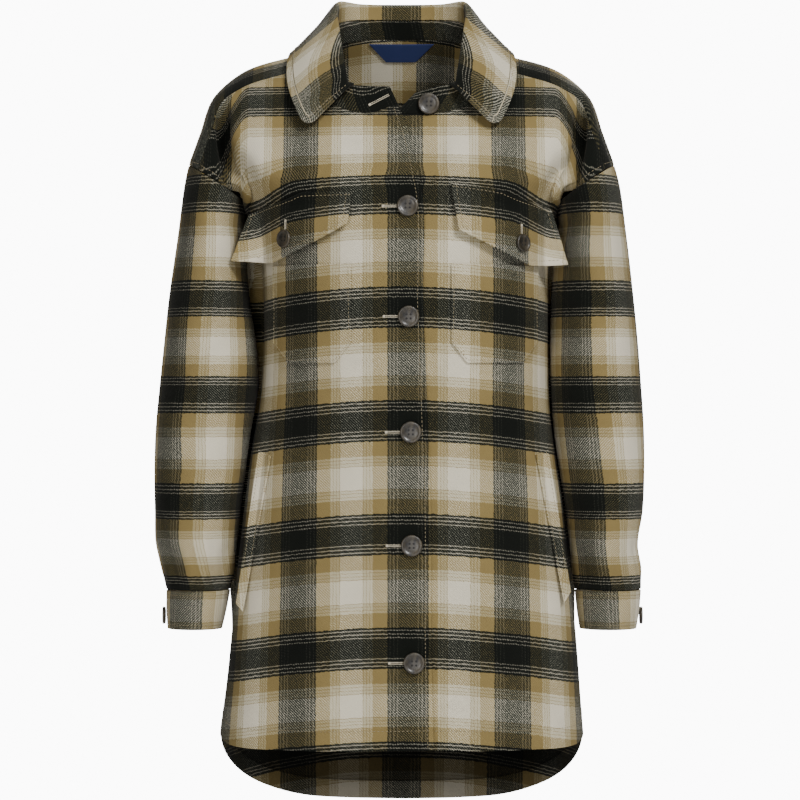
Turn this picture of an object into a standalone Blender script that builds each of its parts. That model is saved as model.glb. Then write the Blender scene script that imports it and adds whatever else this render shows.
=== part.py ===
"""A checked shirt-jacket in brushed flannel, worn by nobody: an open, hollow garment.

It stands as it hangs from a wearer's shoulders. X runs to the viewer's right, the front faces -Y
and Z is up. The origin lies between the two shoulders at the neck, where the wearer holds it up.
The wearer's right is the -X side. Tables and functions work in millimetres, and MM turns them
into metres when a mesh is made. Cloth is a middle surface with a wall of equal halves round it.
"""

import math

import bmesh
import bpy
import numpy as np
from mathutils import Vector
from mathutils.bvhtree import BVHTree

MM = 0.001
COLLECTION = "shirt_jacket"
RIGHT, LEFT = -1, 1
FRONT, BACK = -1, 1

# Walls and gaps
WALL = 2.0
DOUBLED_WALL = 3.0
LABEL_WALL = 1.0
SEAM = 0.2
SIDE_SEAM = 0.35
ARMHOLE_SEAM = 0.5
NECK_SEAM = 2.4
BEND_ROOM = 2.3
MOST_BEND = math.radians(100)
STAND_COLUMNS = 30
LYING_GAP = 0.9
FAR = 400.0

# Heights that several pieces share. The level rows below the arms start at TOP_LEVEL in the
# middle and dip by SIDE_DIP from DIP_FROM of the way to the side seam. UNDERARM_Z is the foot of
# the armhole.
UNDERARM_Z = -153.0
TOP_LEVEL, SIDE_DIP, DIP_FROM = -161.0, 25.0, 0.6
SIDE_HEM_Z = -705.0

# Body sections below the underarm: half widths to each side, depths to front and back, and the
# power of the curve between them, where 2 is an ellipse
BODY = (
    # z, right, left, front, back, power
    (-153, 162.0, 162.0, 124, 114, 2.35),
    (-186, 151.5, 156.0, 129, 113, 2.35),
    (-220, 145.5, 153.5, 131, 111, 2.35),
    (-256, 144.0, 153.5, 130, 109, 2.35),
    (-315, 144.0, 153.5, 127, 107, 2.30),
    (-361, 147.0, 154.0, 126, 108, 2.30),
    (-419, 156.0, 159.5, 126, 112, 2.30),
    (-466, 162.0, 167.0, 127, 118, 2.30),
    (-530, 169.5, 174.0, 130, 125, 2.30),
    (-588, 175.5, 180.5, 133, 131, 2.30),
    (-640, 181.0, 185.0, 135, 135, 2.30),
    (-678, 186.0, 188.0, 136, 138, 2.30),
    (-706, 190.0, 190.5, 137, 140, 2.30),
    (-800, 196.0, 196.0, 139, 143, 2.30),
)

# Hem height against the share of the way from the middle to the side seam
FRONT_HEM = (
    (0.0, -718),
    (0.5, -720),
    (0.72, -720),
    (0.86, -716),
    (0.95, -709),
    (1.0, SIDE_HEM_Z),
)
BACK_HEM = (
    (0.0, -796),
    (0.22, -795),
    (0.40, -790),
    (0.55, -779),
    (0.72, -757),
    (0.88, -728),
    (1.0, SIDE_HEM_Z),
)

# Rows of the solids below the underarm, and of the net that they are read from
LOWER_ROWS = 13
NET_ROWS = 25

# Where each front ends across the middle, and the line of the buttons
FRONT_EDGES = (
    # z, edge of the right front on top, line of the buttons, edge of the left front below
    (-55, -4, 28, 10),
    (-68, 1, 26, 8),
    (-92, 9, 17, 4),
    (-115, 14, 11, -1),
    (-150, 21, 7, -7),
    (-250, 22, 7, -11),
    (-360, 26, 9, -10),
    (-480, 30, 10, -9),
    (-600, 30, 12, -8),
    (-725, 33, 14, -6),
)
LAP = 3.2
LAP_FADE, LAP_MARGIN = 55.0, 8.0

# The armhole seam: a tilted ring round the top of the arm, counted in steps from the underarm,
# forwards and up over the shoulder
RING_STEPS = 20
RING_MIDDLE = (192.5, 2.0, -133.5)
RING_REACH = (30.5, 19.5)
RING_DEPTH = 88.0
FRONT_STEP = 7
BACK_STEP = 15

# Depth of the chest in front of the shoulder line, by height
CHEST_DEPTH = (
    (-153, 124),
    (-128, 121),
    (-98, 112),
    (-80, 104),
    (-62, 92),
    (-40, 72),
    (-20, 49),
    (-8, 35),
    (10, 8),
)
CHEST_HALF = 176.0
CHEST_POWER = 2.5

# Ten stations lie between the middle and the side of a body panel. SHARES are their places on a
# level line below the underarm.
STATIONS = (
    "edge",
    "neck_1",
    "neck_2",
    "neck_3",
    "neck",
    "shoulder",
    "ridge",
    "valley",
    "cap",
    "ring",
)
SHARES = (0.0, 0.10, 0.20, 0.29, 0.38, 0.51, 0.68, 0.80, 0.90, 1.0)
COLUMNS = (1, 1, 1, 1, 2, 3, 3, 2, 2)
NECK_STATION = STATIONS.index("neck")
NECK_COLUMNS = sum(COLUMNS[:NECK_STATION])

# Upper front, one row for each line from the front edge to the armhole. A station is its distance
# out and its height, and its depth where the chest's own depth doesn't give it.
UPPER_FRONT = (
    # step, then neck_1 to shoulder, and ridge to cap
    (0.0, (8, -146), (30, -146), (50, -146), (69, -146), (101, -146),
     (137, -149, -80), (152, -156, -51), (158, -164, -28)),
    (2.0, (18, -127), (38, -127), (54, -127), (70, -127), (106, -128),
     (144, -130, -90), (159, -137, -62), (165, -145, -62)),
    (4.0, (22, -99), (46, -99), (61, -98), (77, -97), (114, -98),
     (157, -102, -86), (171, -109, -52), (180, -122, -72)),
    (5.5, (27, -84), (55, -81), (70, -72), (82, -58), (119, -62),
     (163, -72, -70), (180, -82, -50), (190, -105, -72)),
    (7.0, (35, -66), (64, -59), (80, -34), (84, -8), (121, -21),
     (166, -36, -44), (187, -51, -49), (199, -87, -62)),
)
UPPER_EDGE = {
    # step and height at the front edge
    RIGHT: ((0, -146), (2, -127), (4, -99), (5.5, -79), (7, -55)),
    LEFT: ((0, -146), (2, -129), (4, -104), (5.5, -86), (7, -66)),
}

# Upper back, between the underarm and the yoke's seam
UPPER_BACK = (
    # step, then distance out, depth and height at each station
    (20.0, (0, 114, -146), (24, 114, -146), (48, 113, -146), (69, 111, -146), (89, 106, -146),
     (113, 98, -146), (139, 80, -149), (153, 51, -156), (158, 28, -164)),
    (17.5, (0, 115, -133), (23, 115, -133), (46, 114, -133), (70, 113, -133), (92, 109, -133),
     (117, 102, -134), (149, 88, -136), (162, 68, -139), (168, 71, -144)),
    (15.0, (0, 115, -118), (23, 115, -118), (46, 114, -118), (70, 113, -118), (92, 110, -118),
     (118, 105, -119), (152, 88, -122), (170, 68, -126), (184, 82, -131)),
)

# The yoke between its front edge and its back seam: over the shoulder's ridge and the shoulder
# blade. Stations from the neck inwards start on the neckline.
YOKE_RIDGE_STEP, YOKE_BLADE_STEP = 10.0, 12.5
YOKE_STEPS = (FRONT_STEP, YOKE_RIDGE_STEP, YOKE_BLADE_STEP, BACK_STEP)
YOKE = (
    # station, start on the neckline, ridge, blade
    ("edge", (0, 54, 24), (0, 77, -10), (0, 102, -64)),
    ("neck_1", (36, 50, 23), (36, 74, -10), (30, 101, -63)),
    ("neck_2", (64, 36, 18), (64, 62, -9), (58, 96, -61)),
    ("neck_3", (81, 4, 10), (88, 38, -1), (82, 88, -56)),
    ("neck", None, (97, 6, 4), (103, 72, -45)),
    ("shoulder", None, (122, 5, -1), (128, 70, -50)),
    ("ridge", None, (170, 4, -18), (167, 62, -62)),
    ("valley", None, (199, 4, -46), (194, 58, -82)),
    ("cap", None, (213, 4, -86), (208, 60, -106)),
)

# Upper edge of the collar stand from the middle of the back to the front, over the neckline's
# stations, and its front ends
STAND_TOP = (
    (0, 50, 43),
    (38, 45, 43),
    (60, 27, 40),
    (71, 0, 32),
    (72, -35, 13),
    (69, -63, -11),
    (59, -82, -33),
    (38, -92, -37),
)
STAND_ENDS = {RIGHT: (3, -94, -41), LEFT: (14, -92, -44)}

# Collar: its seam on the stand, its roll line, the middle of its fall and its outer edge
COLLAR = (
    # seam, roll, middle, edge: distance out, depth, height
    ((0, 50, 44), (0, 57, 61), (0, 72, 34), (0, 88, 2)),
    ((38, 45, 44), (42, 51, 61), (52, 66, 34), (64, 83, 2)),
    ((60, 27, 41), (64, 26, 61), (84, 40, 33), (108, 54, 4)),
    ((71, 0, 33), (68, -4, 51), (93, -2, 29), (119, 6, 7)),
    ((72, -35, 14), (65, -40, 22), (90, -48, 8), (119, -36, -6)),
    ((69, -63, -10), (61, -69, -8), (86, -84, -22), (118, -66, -33)),
    ((59, -83, -32), (57, -90, -30), (80, -101, -48), (110, -93, -58)),
    ((49, -90, -35), (55, -97, -40), (76, -106, -61), (98, -106, -83)),
)

# Sleeve rings: outermost and innermost point, and the depths of front and back. The first ring
# is the armhole.
SLEEVES = {
    RIGHT: (
        # out, out_z, in, in_z, front, back
        (227, -131, 167.5, -176, -87, 88),
        (234, -184, 164.5, -212, -87, 82),
        (244, -255, 160.0, -262, -84, 72),
        (248.5, -298, 153.5, -302, -82, 65),
        (252.7, -340, 151.0, -342, -82, 60),
        (257.4, -393, 159.0, -393, -84, 53),
        (258.4, -427, 163.5, -427, -85, 47),
        (257.7, -477, 169.5, -477, -84, 40),
        (256.4, -514, 173.5, -514, -81, 33),
        (251.6, -537, 175.5, -537, -77, 26),
        (245.3, -558.5, 180.5, -558.5, -69, 18),
    ),
    LEFT: (
        (228, -131, 166.5, -176, -87, 88),
        (235.5, -184, 161.5, -212, -87, 82),
        (243.5, -255, 158.0, -262, -84, 72),
        (247.5, -298, 157.3, -302, -82, 65),
        (250.6, -340, 157.6, -342, -82, 60),
        (253.7, -393, 161.0, -393, -84, 53),
        (254.0, -427, 165.5, -427, -85, 47),
        (252.0, -477, 173.0, -477, -84, 40),
        (247.0, -514, 177.0, -514, -81, 33),
        (251.0, -537, 179.0, -537, -77, 26),
        (250.0, -558.5, 182.5, -558.5, -69, 18),
    ),
}
RING_SEAM = 1.0
RING_UNDERARM_GAP = 2.6
SLEEVE_ROWS = 10
GATHERED_RINGS, GATHERED_ROWS = 4, 7

# Cuff rings from the top down: height, depths of front and back, then out and in
CUFF_RINGS = ((-559.6, -69, 18), (-579.8, -68.5, 16.5), (-600.0, -66, 13))
CUFFS = {
    RIGHT: ((245.3, 180.5), (245.5, 184.2), (244.2, 189.0)),
    LEFT: ((250.0, 182.5), (248.3, 184.4), (245.0, 187.5)),
}

# Large soft folds: a straight stretch in the front view, its reach across and its depth, where a
# plus is a ridge
FOLDS = {
    FRONT: (
        # x, z, x, z, reach, depth
        (-150, -250, -168, -690, 16, 3.5),
        (-118, -470, -132, -725, 20, -4.0),
        (-78, -520, -84, -725, 22, 3.0),
        (45, -75, 41, -122, 7, -2.5),
        (84, -500, 92, -725, 22, 3.0),
        (124, -460, 140, -725, 20, -4.0),
        (152, -300, 172, -690, 16, 3.0),
    ),
    BACK: (
        (-146, -180, -160, -690, 18, 3.5),
        (-104, -210, -118, -780, 22, -6.0),
        (-52, -330, -62, -790, 26, 5.0),
        (10, -260, 4, -790, 26, -4.5),
        (66, -340, 72, -790, 26, 5.0),
        (112, -230, 124, -780, 22, -6.0),
        (150, -200, 164, -690, 18, 3.5),
    ),
}

# A fold grows over the first FOLD_GROWS of its length and dies over FOLD_FADES before FOLD_ENDS,
# in lengths. It is calm over the last SEAM_CALM of the way to the side seam.
FOLD_GROWS, FOLD_ENDS, FOLD_FADES = 0.35, 1.15, 0.3
SEAM_CALM = 0.14

# Sleeve folds: place round the ring in steps, top and bottom height, reach in steps and depth
SLEEVE_FOLDS = (
    (3.2, -190, -330, 1.6, -4.0),
    (6.6, -240, -420, 1.6, 3.0),
    (16.5, -200, -360, 1.8, -4.5),
    (14.0, -320, -480, 1.8, -4.0),
    (4.4, -350, -470, 1.8, -4.5),
)
SLEEVE_FOLD_FADES = 0.3

# Gathers into the cuff: place in steps, top height, reach in steps and depth
GATHERS = (
    (2.4, -500, 1.0, -5.0),
    (6.8, -505, 1.0, -4.5),
    (11.0, -505, 1.1, -4.0),
    (14.6, -500, 1.0, -5.0),
)
GATHER_FOOT, GATHER_GROWS, GATHER_FADES = -558.4, 30.0, 12.0

# Chest pockets, flaps and welts in the front view: distances from the middle line and heights
POCKETS = {
    # inner, outer, top, bottom, width of the cut corner, height of the cut corner
    RIGHT: (-51.0, -131.0, -222.0, -323.0, 16.0, 21.0),
    LEFT: (50.5, 139.0, -222.0, -323.0, 16.0, 21.0),
}
FLAPS = {
    # top inner, top middle, top outer, then bottom inner, shoulder of the point, point, outer
    RIGHT: ((-50, -148), (-100, -147), (-154, -168), (-53, -182), (-86, -200), (-124, -219),
            (-166, -216)),
    LEFT: ((50, -139), (100, -145), (151, -164), (57, -188), (92, -206), (125, -223),
           (162, -221)),
}
FLAP_TOP_SHARES = (0.0, 0.5, 1.0)
FLAP_FOOT_SHARES = (0.0, 0.32, 0.64, 1.0)
FLAP_STAND_OFF = 7.0
HANGING_SHARE = 0.90
FLAP_SIDE_LIFT = 1.8
FLAP_CURL = 0.8
WELTS = {
    # front edge top and bottom, back edge top and bottom
    RIGHT: ((-133, -419), (-162, -581), (-146, -413), (-169.5, -572)),
    LEFT: ((137, -418), (166, -572), (150, -413), (173.5, -560)),
}

# Columns and rows of the patches
POCKET_CELLS = (9, 6)
FLAP_CELLS = (11, 5)
WELT_CELLS = (2, 10)
LABEL_CELLS = (5, 3)

# Buttons: diameters and thickness, and the turned outline as shares of radius and thickness
BUTTON, SMALL_BUTTON = 22.0, 18.5
BUTTON_THICK = 3.4
BUTTON_OUTLINE = ((0, 0.66), (0.7, 0.74), (0.82, 1), (0.94, 1), (1, 0.62), (0.86, 0), (0, 0))
BUTTON_STEPS = 16
FRONT_BUTTON_Z = (-163.0, -275.5, -394.0, -510.0, -629.5)
BUTTON_XS = (6.2, 7.2, 9.4, 10.3, 12.8)
NECK_BUTTON = (28.0, -56.0)
FLAP_BUTTONS = {RIGHT: (-118.5, -195.5), LEFT: (122.5, -200.0)}

# Label inside the back neck: its top and bottom edge from side to side, its top and its height
LABEL_TOP_EDGE, LABEL_FOOT_EDGE = (-35.5, 35.5), (-16.5, 15.0)
LABEL_TOP, LABEL_HEIGHT = 20.5, 18.0

# Colours as linear values
CLOTH_TAN = (0.40, 0.31, 0.15)
CLOTH_DARK = (0.020, 0.024, 0.020)
CLOTH_CREAM = (0.56, 0.52, 0.43)
CLOTH_GREY = (0.16, 0.14, 0.11)
LABEL_NAVY = (0.010, 0.020, 0.075)
HORN = (0.11, 0.085, 0.065)
CLOTH_CREASE = math.radians(50)
CLOTH_ROUGHNESS, HORN_ROUGHNESS = 0.93, 0.32


def smooth(knots, values, at):
    """The curve through values at knots whose slopes follow from the neighbours, read at at."""
    knots, values, at = (np.asarray(x, float) for x in (knots, values, at))
    flat = values.reshape(len(knots), -1)
    step = np.diff(knots)[:, None]
    rise = np.diff(flat, axis=0) / step
    slope = np.empty_like(flat)
    slope[0], slope[-1] = rise[0], rise[-1]
    slope[1:-1] = (rise[:-1] * step[1:] + rise[1:] * step[:-1]) / (step[1:] + step[:-1])
    i = np.clip(np.searchsorted(knots, at, side="right") - 1, 0, len(knots) - 2)
    h = step[i]
    t = ((at - knots[i])[:, None]) / h
    out = (
        flat[i] * (1 + 2 * t) * (1 - t) ** 2
        + slope[i] * h * t * (1 - t) ** 2
        + flat[i + 1] * t * t * (3 - 2 * t)
        + slope[i + 1] * h * t * t * (t - 1)
    )
    return out.reshape((len(at),) + values.shape[1:])


def table(rows, column, at):
    """One column of a table read against its first, at one value or several. Either order of the
    first column will do."""
    rows = sorted(rows, key=lambda row: row[0])
    found = smooth([row[0] for row in rows], [row[column] for row in rows], np.atleast_1d(at))
    return found if np.ndim(at) else float(found[0])


def chords(points):
    """The length along a line of points at each of them."""
    return np.concatenate(([0], np.cumsum(np.linalg.norm(np.diff(points, axis=0), axis=1))))


def through(points, places, at):
    """A smooth curve through points that stand at places, read at at."""
    length = chords(points)
    return smooth(length, points, np.interp(at, places, length))


def surface(net, rows, stations, at_rows, at_stations):
    """A smooth sheet through a net of points, as a grid of points."""
    lines = np.stack([through(net[:, i], rows, at_rows) for i in range(net.shape[1])], 1)
    return np.stack([through(line, stations, at_stations) for line in lines])


def spread(knots, counts):
    """Values from the first knot to the last, with the given number of steps between each two."""
    found = [
        a + (b - a) * np.arange(count) / count for a, b, count in zip(knots, knots[1:], counts)
    ]
    return np.concatenate(found + [[knots[-1]]])


def ease(t):
    t = np.clip(t, 0.0, 1.0)
    return t * t * (3 - 2 * t)


def ring(step, side):
    """A point of the armhole seam. Step 0 is the underarm and step 10 the top."""
    angle = 2 * math.pi * step / RING_STEPS
    out = RING_MIDDLE[0] - RING_REACH[0] * math.cos(angle)
    deep = RING_MIDDLE[1] - RING_DEPTH * math.sin(angle)
    up = RING_MIDDLE[2] - RING_REACH[1] * math.cos(angle)
    return np.array((side * out, deep, up))


def section(z, side, face, start_x=0.0, count=160):
    """A level line on the body from start_x to the side seam, as many points."""
    half = table(BODY, 2 if side == LEFT else 1, z)
    depth = table(BODY, 4 if face == BACK else 3, z)
    power = table(BODY, 5, z)
    angle = np.linspace(0, math.pi / 2, count)
    x = side * half * np.sin(angle) ** (2 / power)
    y = face * depth * np.cos(angle) ** (2 / power)
    if side * start_x < 0:
        past = np.linspace(start_x, 0, 12)[:-1]
        x, y = np.concatenate((past, x)), np.concatenate((np.full(len(past), face * depth), y))
    return np.stack((x, y, np.full(len(x), z)), 1)


def at_shares(line, shares):
    """Points of a line at the given shares of its length."""
    length = chords(line)
    at = np.array(shares) * length[-1]
    return np.stack([np.interp(at, length, line[:, k]) for k in range(3)], 1)


def chest_depth(out, z):
    round_side = (1 - (abs(out) / CHEST_HALF) ** CHEST_POWER) ** (1 / CHEST_POWER)
    return -table(CHEST_DEPTH, 1, z) * round_side


def front_edge(z, side):
    return table(FRONT_EDGES, 1 if side == RIGHT else 3, z)


def body_net(face, side, lower):
    """The lower part of a panel's net: rows from the underarm at 0 down to the hem at 1, each
    with ten stations. The hem is lower at some stations than at others."""
    shares = np.array(SHARES)
    hem = table(FRONT_HEM if face == FRONT else BACK_HEM, 1, shares)
    top = TOP_LEVEL - SIDE_DIP * ease((shares - DIP_FROM) / (1 - DIP_FROM))
    net = np.empty((len(lower), len(shares), 3))
    for j, down in enumerate(lower):
        for i, share in enumerate(shares):
            z = top[i] + (hem[i] - top[i]) * down
            start = front_edge(z, side) if face == FRONT else 0.0
            net[j, i] = at_shares(section(z, side, face, start), [share])[0]
    return net


def upper_front_net(side):
    rows, steps = [], []
    for step, *stations in UPPER_FRONT:
        z = table(UPPER_EDGE[side], 1, step)
        x = front_edge(z, side)
        line = [(x, chest_depth(x, z), z)]
        for out, up, *deep in stations:
            line.append((side * out, deep[0] if deep else chest_depth(out, up), up))
        rows.append(line + [tuple(ring(step, side))])
        steps.append(step)
    return steps, np.array(rows)


def upper_back_net(side):
    rows, steps = [], []
    for step, *stations in UPPER_BACK:
        line = [(side * out, deep, up) for out, deep, up in stations]
        rows.append(line + [tuple(ring(step, side))])
        steps.append(step)
    return steps, np.array(rows)


def folded(grid, face, shares):
    """The grid with the large folds of that face raised or sunk. They die out at the side seam."""
    level = np.stack((grid[..., 0], grid[..., 1], np.zeros(grid.shape[:2])), -1)
    level /= np.maximum(np.linalg.norm(level, axis=2, keepdims=True), 1e-9)
    moved = grid.copy()
    still = ease((1 - shares) / SEAM_CALM)[None, :]
    for x0, z0, x1, z1, reach, depth in FOLDS[face]:
        along = (grid[..., 2] - z0) / (z1 - z0)
        middle = x0 + (x1 - x0) * np.clip(along, 0, 1)
        near = np.exp(-(((grid[..., 0] - middle) / reach) ** 2))
        grown = ease(along / FOLD_GROWS) * ease((FOLD_ENDS - along) / FOLD_FADES)
        moved += level * (depth * near * grown * still)[..., None]
    return moved


def yoke_net(side):
    """The yoke's rows: its front edge and the neckline, the ridge, the blade and the back seam."""
    top, seam = upper_front_net(side)[1][-1], upper_back_net(side)[1][-1]
    net = []
    for i, (_, start, ridge, blade) in enumerate(YOKE):
        first = top[i] if start is None else (side * start[0],) + start[1:]
        net.append([first, (side * ridge[0],) + ridge[1:], (side * blade[0],) + blade[1:], seam[i]])
    net.append([ring(step, side) for step in YOKE_STEPS])
    return np.array(net, float).transpose(1, 0, 2)


def carried_on(rows, beyond):
    """The row that follows a net's last one, so that two pieces meet without a kink: the
    neighbour's from the neck outwards, and the net's own run carried on inside it."""
    guessed = 2 * rows[-1] - rows[-2]
    guessed[NECK_STATION:] = beyond[NECK_STATION:]
    return guessed


def front_grid(side):
    """The middle surface of a front: rows run from the hem up, columns from the front edge out."""
    below = np.linspace(0, 1, NET_ROWS)
    upper_steps, upper = upper_front_net(side)
    upper = np.concatenate((upper, [carried_on(upper, yoke_net(side)[1])]))
    net = np.concatenate((body_net(FRONT, side, below)[::-1], upper))
    rows = np.concatenate((-1 - below[::-1] * LOWER_ROWS, upper_steps, [YOKE_RIDGE_STEP]))
    at = np.arange(-1 - LOWER_ROWS, FRONT_STEP + 1)
    grid = surface(net, rows, SHARES, at, spread(SHARES, COLUMNS))
    for k, step in enumerate(at):
        if step >= 0:
            grid[k, -1] = ring(step, side)
    grid = folded(grid, FRONT, spread(SHARES, COLUMNS))
    return lapped(grid) if side == LEFT else grid


def back_grid():
    """The back's middle surface: rows from the hem up, columns from the right side to the left."""
    below = np.linspace(0, 1, NET_ROWS)
    halves = []
    for side in (RIGHT, LEFT):
        upper_steps, upper = upper_back_net(side)
        upper = np.concatenate((upper, yoke_net(side)[2:3]))
        net = np.concatenate((body_net(BACK, side, below)[::-1], upper))
        up = [RING_STEPS - step for step in (*upper_steps, YOKE_BLADE_STEP)]
        rows = np.concatenate((-1 - below[::-1] * LOWER_ROWS, up))
        at = np.arange(-1 - LOWER_ROWS, RING_STEPS - BACK_STEP + 1)
        grid = surface(net, rows, SHARES, at, spread(SHARES, COLUMNS))
        for k, step in enumerate(at):
            if step >= 0:
                grid[k, -1] = ring(RING_STEPS - step, side)
        halves.append(folded(grid, BACK, spread(SHARES, COLUMNS)))
    return np.concatenate((halves[0][:, ::-1], halves[1][:, 1:]), axis=1)


def yoke_grid():
    """The yoke's middle surface: rows from its front edge and the neckline back to its seam."""
    at_rows = np.arange(FRONT_STEP, BACK_STEP + 1)
    across = spread(SHARES, COLUMNS)
    halves = []
    for side in (RIGHT, LEFT):
        net = yoke_net(side)
        front_steps, front = upper_front_net(side)
        back_steps, back = upper_back_net(side)
        before = carried_on(net[1::-1], front[-2])
        rows = (front_steps[-2], *YOKE_STEPS, back_steps[0])
        grid = surface(np.concatenate(([before], net, back[:1])), rows, SHARES, at_rows, across)
        grid[0, NECK_COLUMNS:] = through(front[-1], SHARES, across)[NECK_COLUMNS:]
        for k, step in enumerate(at_rows):
            grid[k, -1] = ring(step, side)
        halves.append(grid)
    return np.concatenate((halves[0][:, ::-1], halves[1][:, 1:]), axis=1)


def sleeve_rings(side):
    """The sleeve's rings by height: the armhole first, moved off the body."""
    steps = np.arange(RING_STEPS + 1)
    angle = 2 * math.pi * steps / RING_STEPS
    down = np.array((side * RING_REACH[1], 0, -RING_REACH[0])) / math.hypot(*RING_REACH)
    armhole = np.array([ring(step, side) for step in steps]) + down * RING_SEAM
    armhole[:, 0] += side * RING_UNDERARM_GAP * np.maximum(0, np.cos(angle)) ** 3
    rings = [armhole]
    for out, out_z, inner, inner_z, front, back in SLEEVES[side]:
        swing = (1 - np.cos(angle)) / 2
        x = side * (inner + (out - inner) * swing)
        y = (front + back) / 2 - (back - front) / 2 * np.sin(angle)
        z = inner_z + (out_z - inner_z) * swing
        rings.append(np.stack((x, y, z), 1))
    return np.array(rings)


def sleeve_grid(side):
    """The sleeve's middle surface: rings from the armhole down to the cuff, each of them counted
    from the underarm round the front."""
    rings = sleeve_rings(side)
    heights = -rings[..., 2].mean(1)
    gathered = heights[-GATHERED_RINGS]
    upper = np.linspace(heights[0], gathered, SLEEVE_ROWS, endpoint=False)
    lower = np.linspace(gathered, heights[-1], GATHERED_ROWS + 1)
    grid = smooth(heights, rings, np.concatenate((upper, lower)))
    off = grid - grid.mean(1, keepdims=True)
    off[..., 2] = 0
    off = unit(off)
    z = grid[..., 2]

    def pressed(place, reach, depth, grown):
        gap = (np.arange(RING_STEPS + 1) - place + RING_STEPS / 2) % RING_STEPS - RING_STEPS / 2
        return off * (depth * np.exp(-((gap / reach) ** 2)) * grown)[..., None]

    moved = grid.copy()
    for place, top, bottom, reach, depth in SLEEVE_FOLDS:
        along = (z - top) / (bottom - top)
        grown = ease(along / SLEEVE_FOLD_FADES) * ease((1 - along) / SLEEVE_FOLD_FADES)
        moved += pressed(place, reach, depth, grown)
    for place, top, reach, depth in GATHERS:
        grown = ease((top - z) / GATHER_GROWS) * ease((z - GATHER_FOOT) / GATHER_FADES)
        moved += pressed(place, reach, depth, grown)
    return moved


def cuff_grid(side):
    """The cuff's middle surface: rings from the top down, counted like the sleeve's."""
    angle = 2 * math.pi * np.arange(RING_STEPS + 1) / RING_STEPS
    swing = (1 - np.cos(angle)) / 2
    rings = []
    for (z, front, back), (out, inner) in zip(CUFF_RINGS, CUFFS[side]):
        x = side * (inner + (out - inner) * swing)
        y = (front + back) / 2 - (back - front) / 2 * np.sin(angle)
        rings.append(np.stack((x, y, np.full(len(x), z)), 1))
    return np.array(rings)


def lapped(grid):
    """Points of the left front moved in where the right front lies over them."""
    level = np.clip(grid[..., 2], FRONT_EDGES[-1][0], FRONT_EDGES[0][0])
    over = table(FRONT_EDGES, 1, level.ravel()).reshape(level.shape)
    moved = grid.copy()
    moved[..., 1] += LAP * ease((over + LAP_FADE - grid[..., 0]) / (LAP_FADE - LAP_MARGIN))
    return moved


def neckline(side):
    """The neckline's stations from the middle of the back round to the front edge."""
    behind, before = yoke_net(side)[0], upper_front_net(side)[1][-1]
    if side == LEFT:
        before = lapped(before)
    return np.concatenate((behind[: NECK_STATION + 1], before[NECK_STATION - 1 :: -1]))


def stand_grid(columns=STAND_COLUMNS, rows=2):
    """The collar stand: rows from the neckline up, columns from the right end to the left."""
    sides = []
    for side in (RIGHT, LEFT):
        end = STAND_ENDS[side]
        top = np.array([(side * x, y, z) for x, y, z in STAND_TOP] + [end], float)
        if side == LEFT:
            top[NECK_STATION + 1 :] = lapped(top[NECK_STATION + 1 :])
        sides.append(np.stack((neckline(side), top)))
    net = np.concatenate((sides[0][:, ::-1], sides[1][:, 1:]), axis=1)
    places = np.arange(net.shape[1])
    at = np.linspace(0, places[-1], columns + 1)
    return surface(net, (0, 1), places, np.linspace(0, 1, rows + 1), at)


def collar_grid(columns=STAND_COLUMNS, counts=(2, 2, 3)):
    """The collar: rows from its seam over the roll to the outer edge, columns as the stand's."""
    right = [[(-x, y, z) for x, y, z in row] for row in COLLAR[::-1]]
    net = np.array(right + list(COLLAR[1:]), float)
    places, parts = np.arange(len(net)), np.arange(4)
    at = np.linspace(0, places[-1], columns + 1)
    return surface(net.transpose(1, 0, 2), parts, places, spread(parts, counts), at)


def room(into_one, into_other):
    """How far each of two walls stays back from their shared seam, so that they clear where the
    cloth bends there. The arguments point from the seam into either piece."""
    turn = np.arccos(np.clip(-(unit(into_one) * unit(into_other)).sum(-1), -1, 1))
    return (SEAM + WALL / 2 * BEND_ROOM * np.tan(np.minimum(turn, MOST_BEND) / 2))[:, None]


def drawn_in(grid, **edges):
    """The grid with its first or last row or column drawn back from the seam there, in mm."""
    grid = grid.copy()
    if "first_row" in edges:
        grid[0] += unit(grid[1] - grid[0]) * edges["first_row"]
    if "last_row" in edges:
        grid[-1] += unit(grid[-2] - grid[-1]) * edges["last_row"]
    if "first_column" in edges:
        grid[:, 0] += unit(grid[:, 1] - grid[:, 0]) * edges["first_column"]
    if "last_column" in edges:
        grid[:, -1] += unit(grid[:, -2] - grid[:, -1]) * edges["last_column"]
    return grid


def unit(vectors):
    return vectors / np.maximum(np.linalg.norm(vectors, axis=-1, keepdims=True), 1e-9)


def collection(name):
    made = bpy.data.collections.new(name)
    bpy.context.scene.collection.children.link(made)
    return made


def material(name, colour, roughness):
    made = bpy.data.materials.new(name)
    made.use_nodes = True
    shader = made.node_tree.nodes["Principled BSDF"]
    shader.inputs["Base Color"].default_value = (*colour, 1.0)
    shader.inputs["Roughness"].default_value = roughness
    return made


def sheet_mesh(name, grid, closed=False):
    """A grid primitive laid on the points, and closed round on itself for a tube."""
    rows, columns = grid.shape[:2]
    mesh = bpy.data.meshes.new(name)
    bm = bmesh.new()
    bmesh.ops.create_grid(bm, x_segments=columns - 1, y_segments=rows - 1, size=1.0)
    for vert in bm.verts:
        i = round((vert.co.x + 1) / 2 * (columns - 1))
        j = round((vert.co.y + 1) / 2 * (rows - 1))
        vert.co = grid[j, i] * MM
    if closed:
        bmesh.ops.remove_doubles(bm, verts=bm.verts, dist=0.00001)
    bmesh.ops.recalc_face_normals(bm, faces=bm.faces)
    bm.to_mesh(mesh)
    bm.free()
    return mesh


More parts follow.
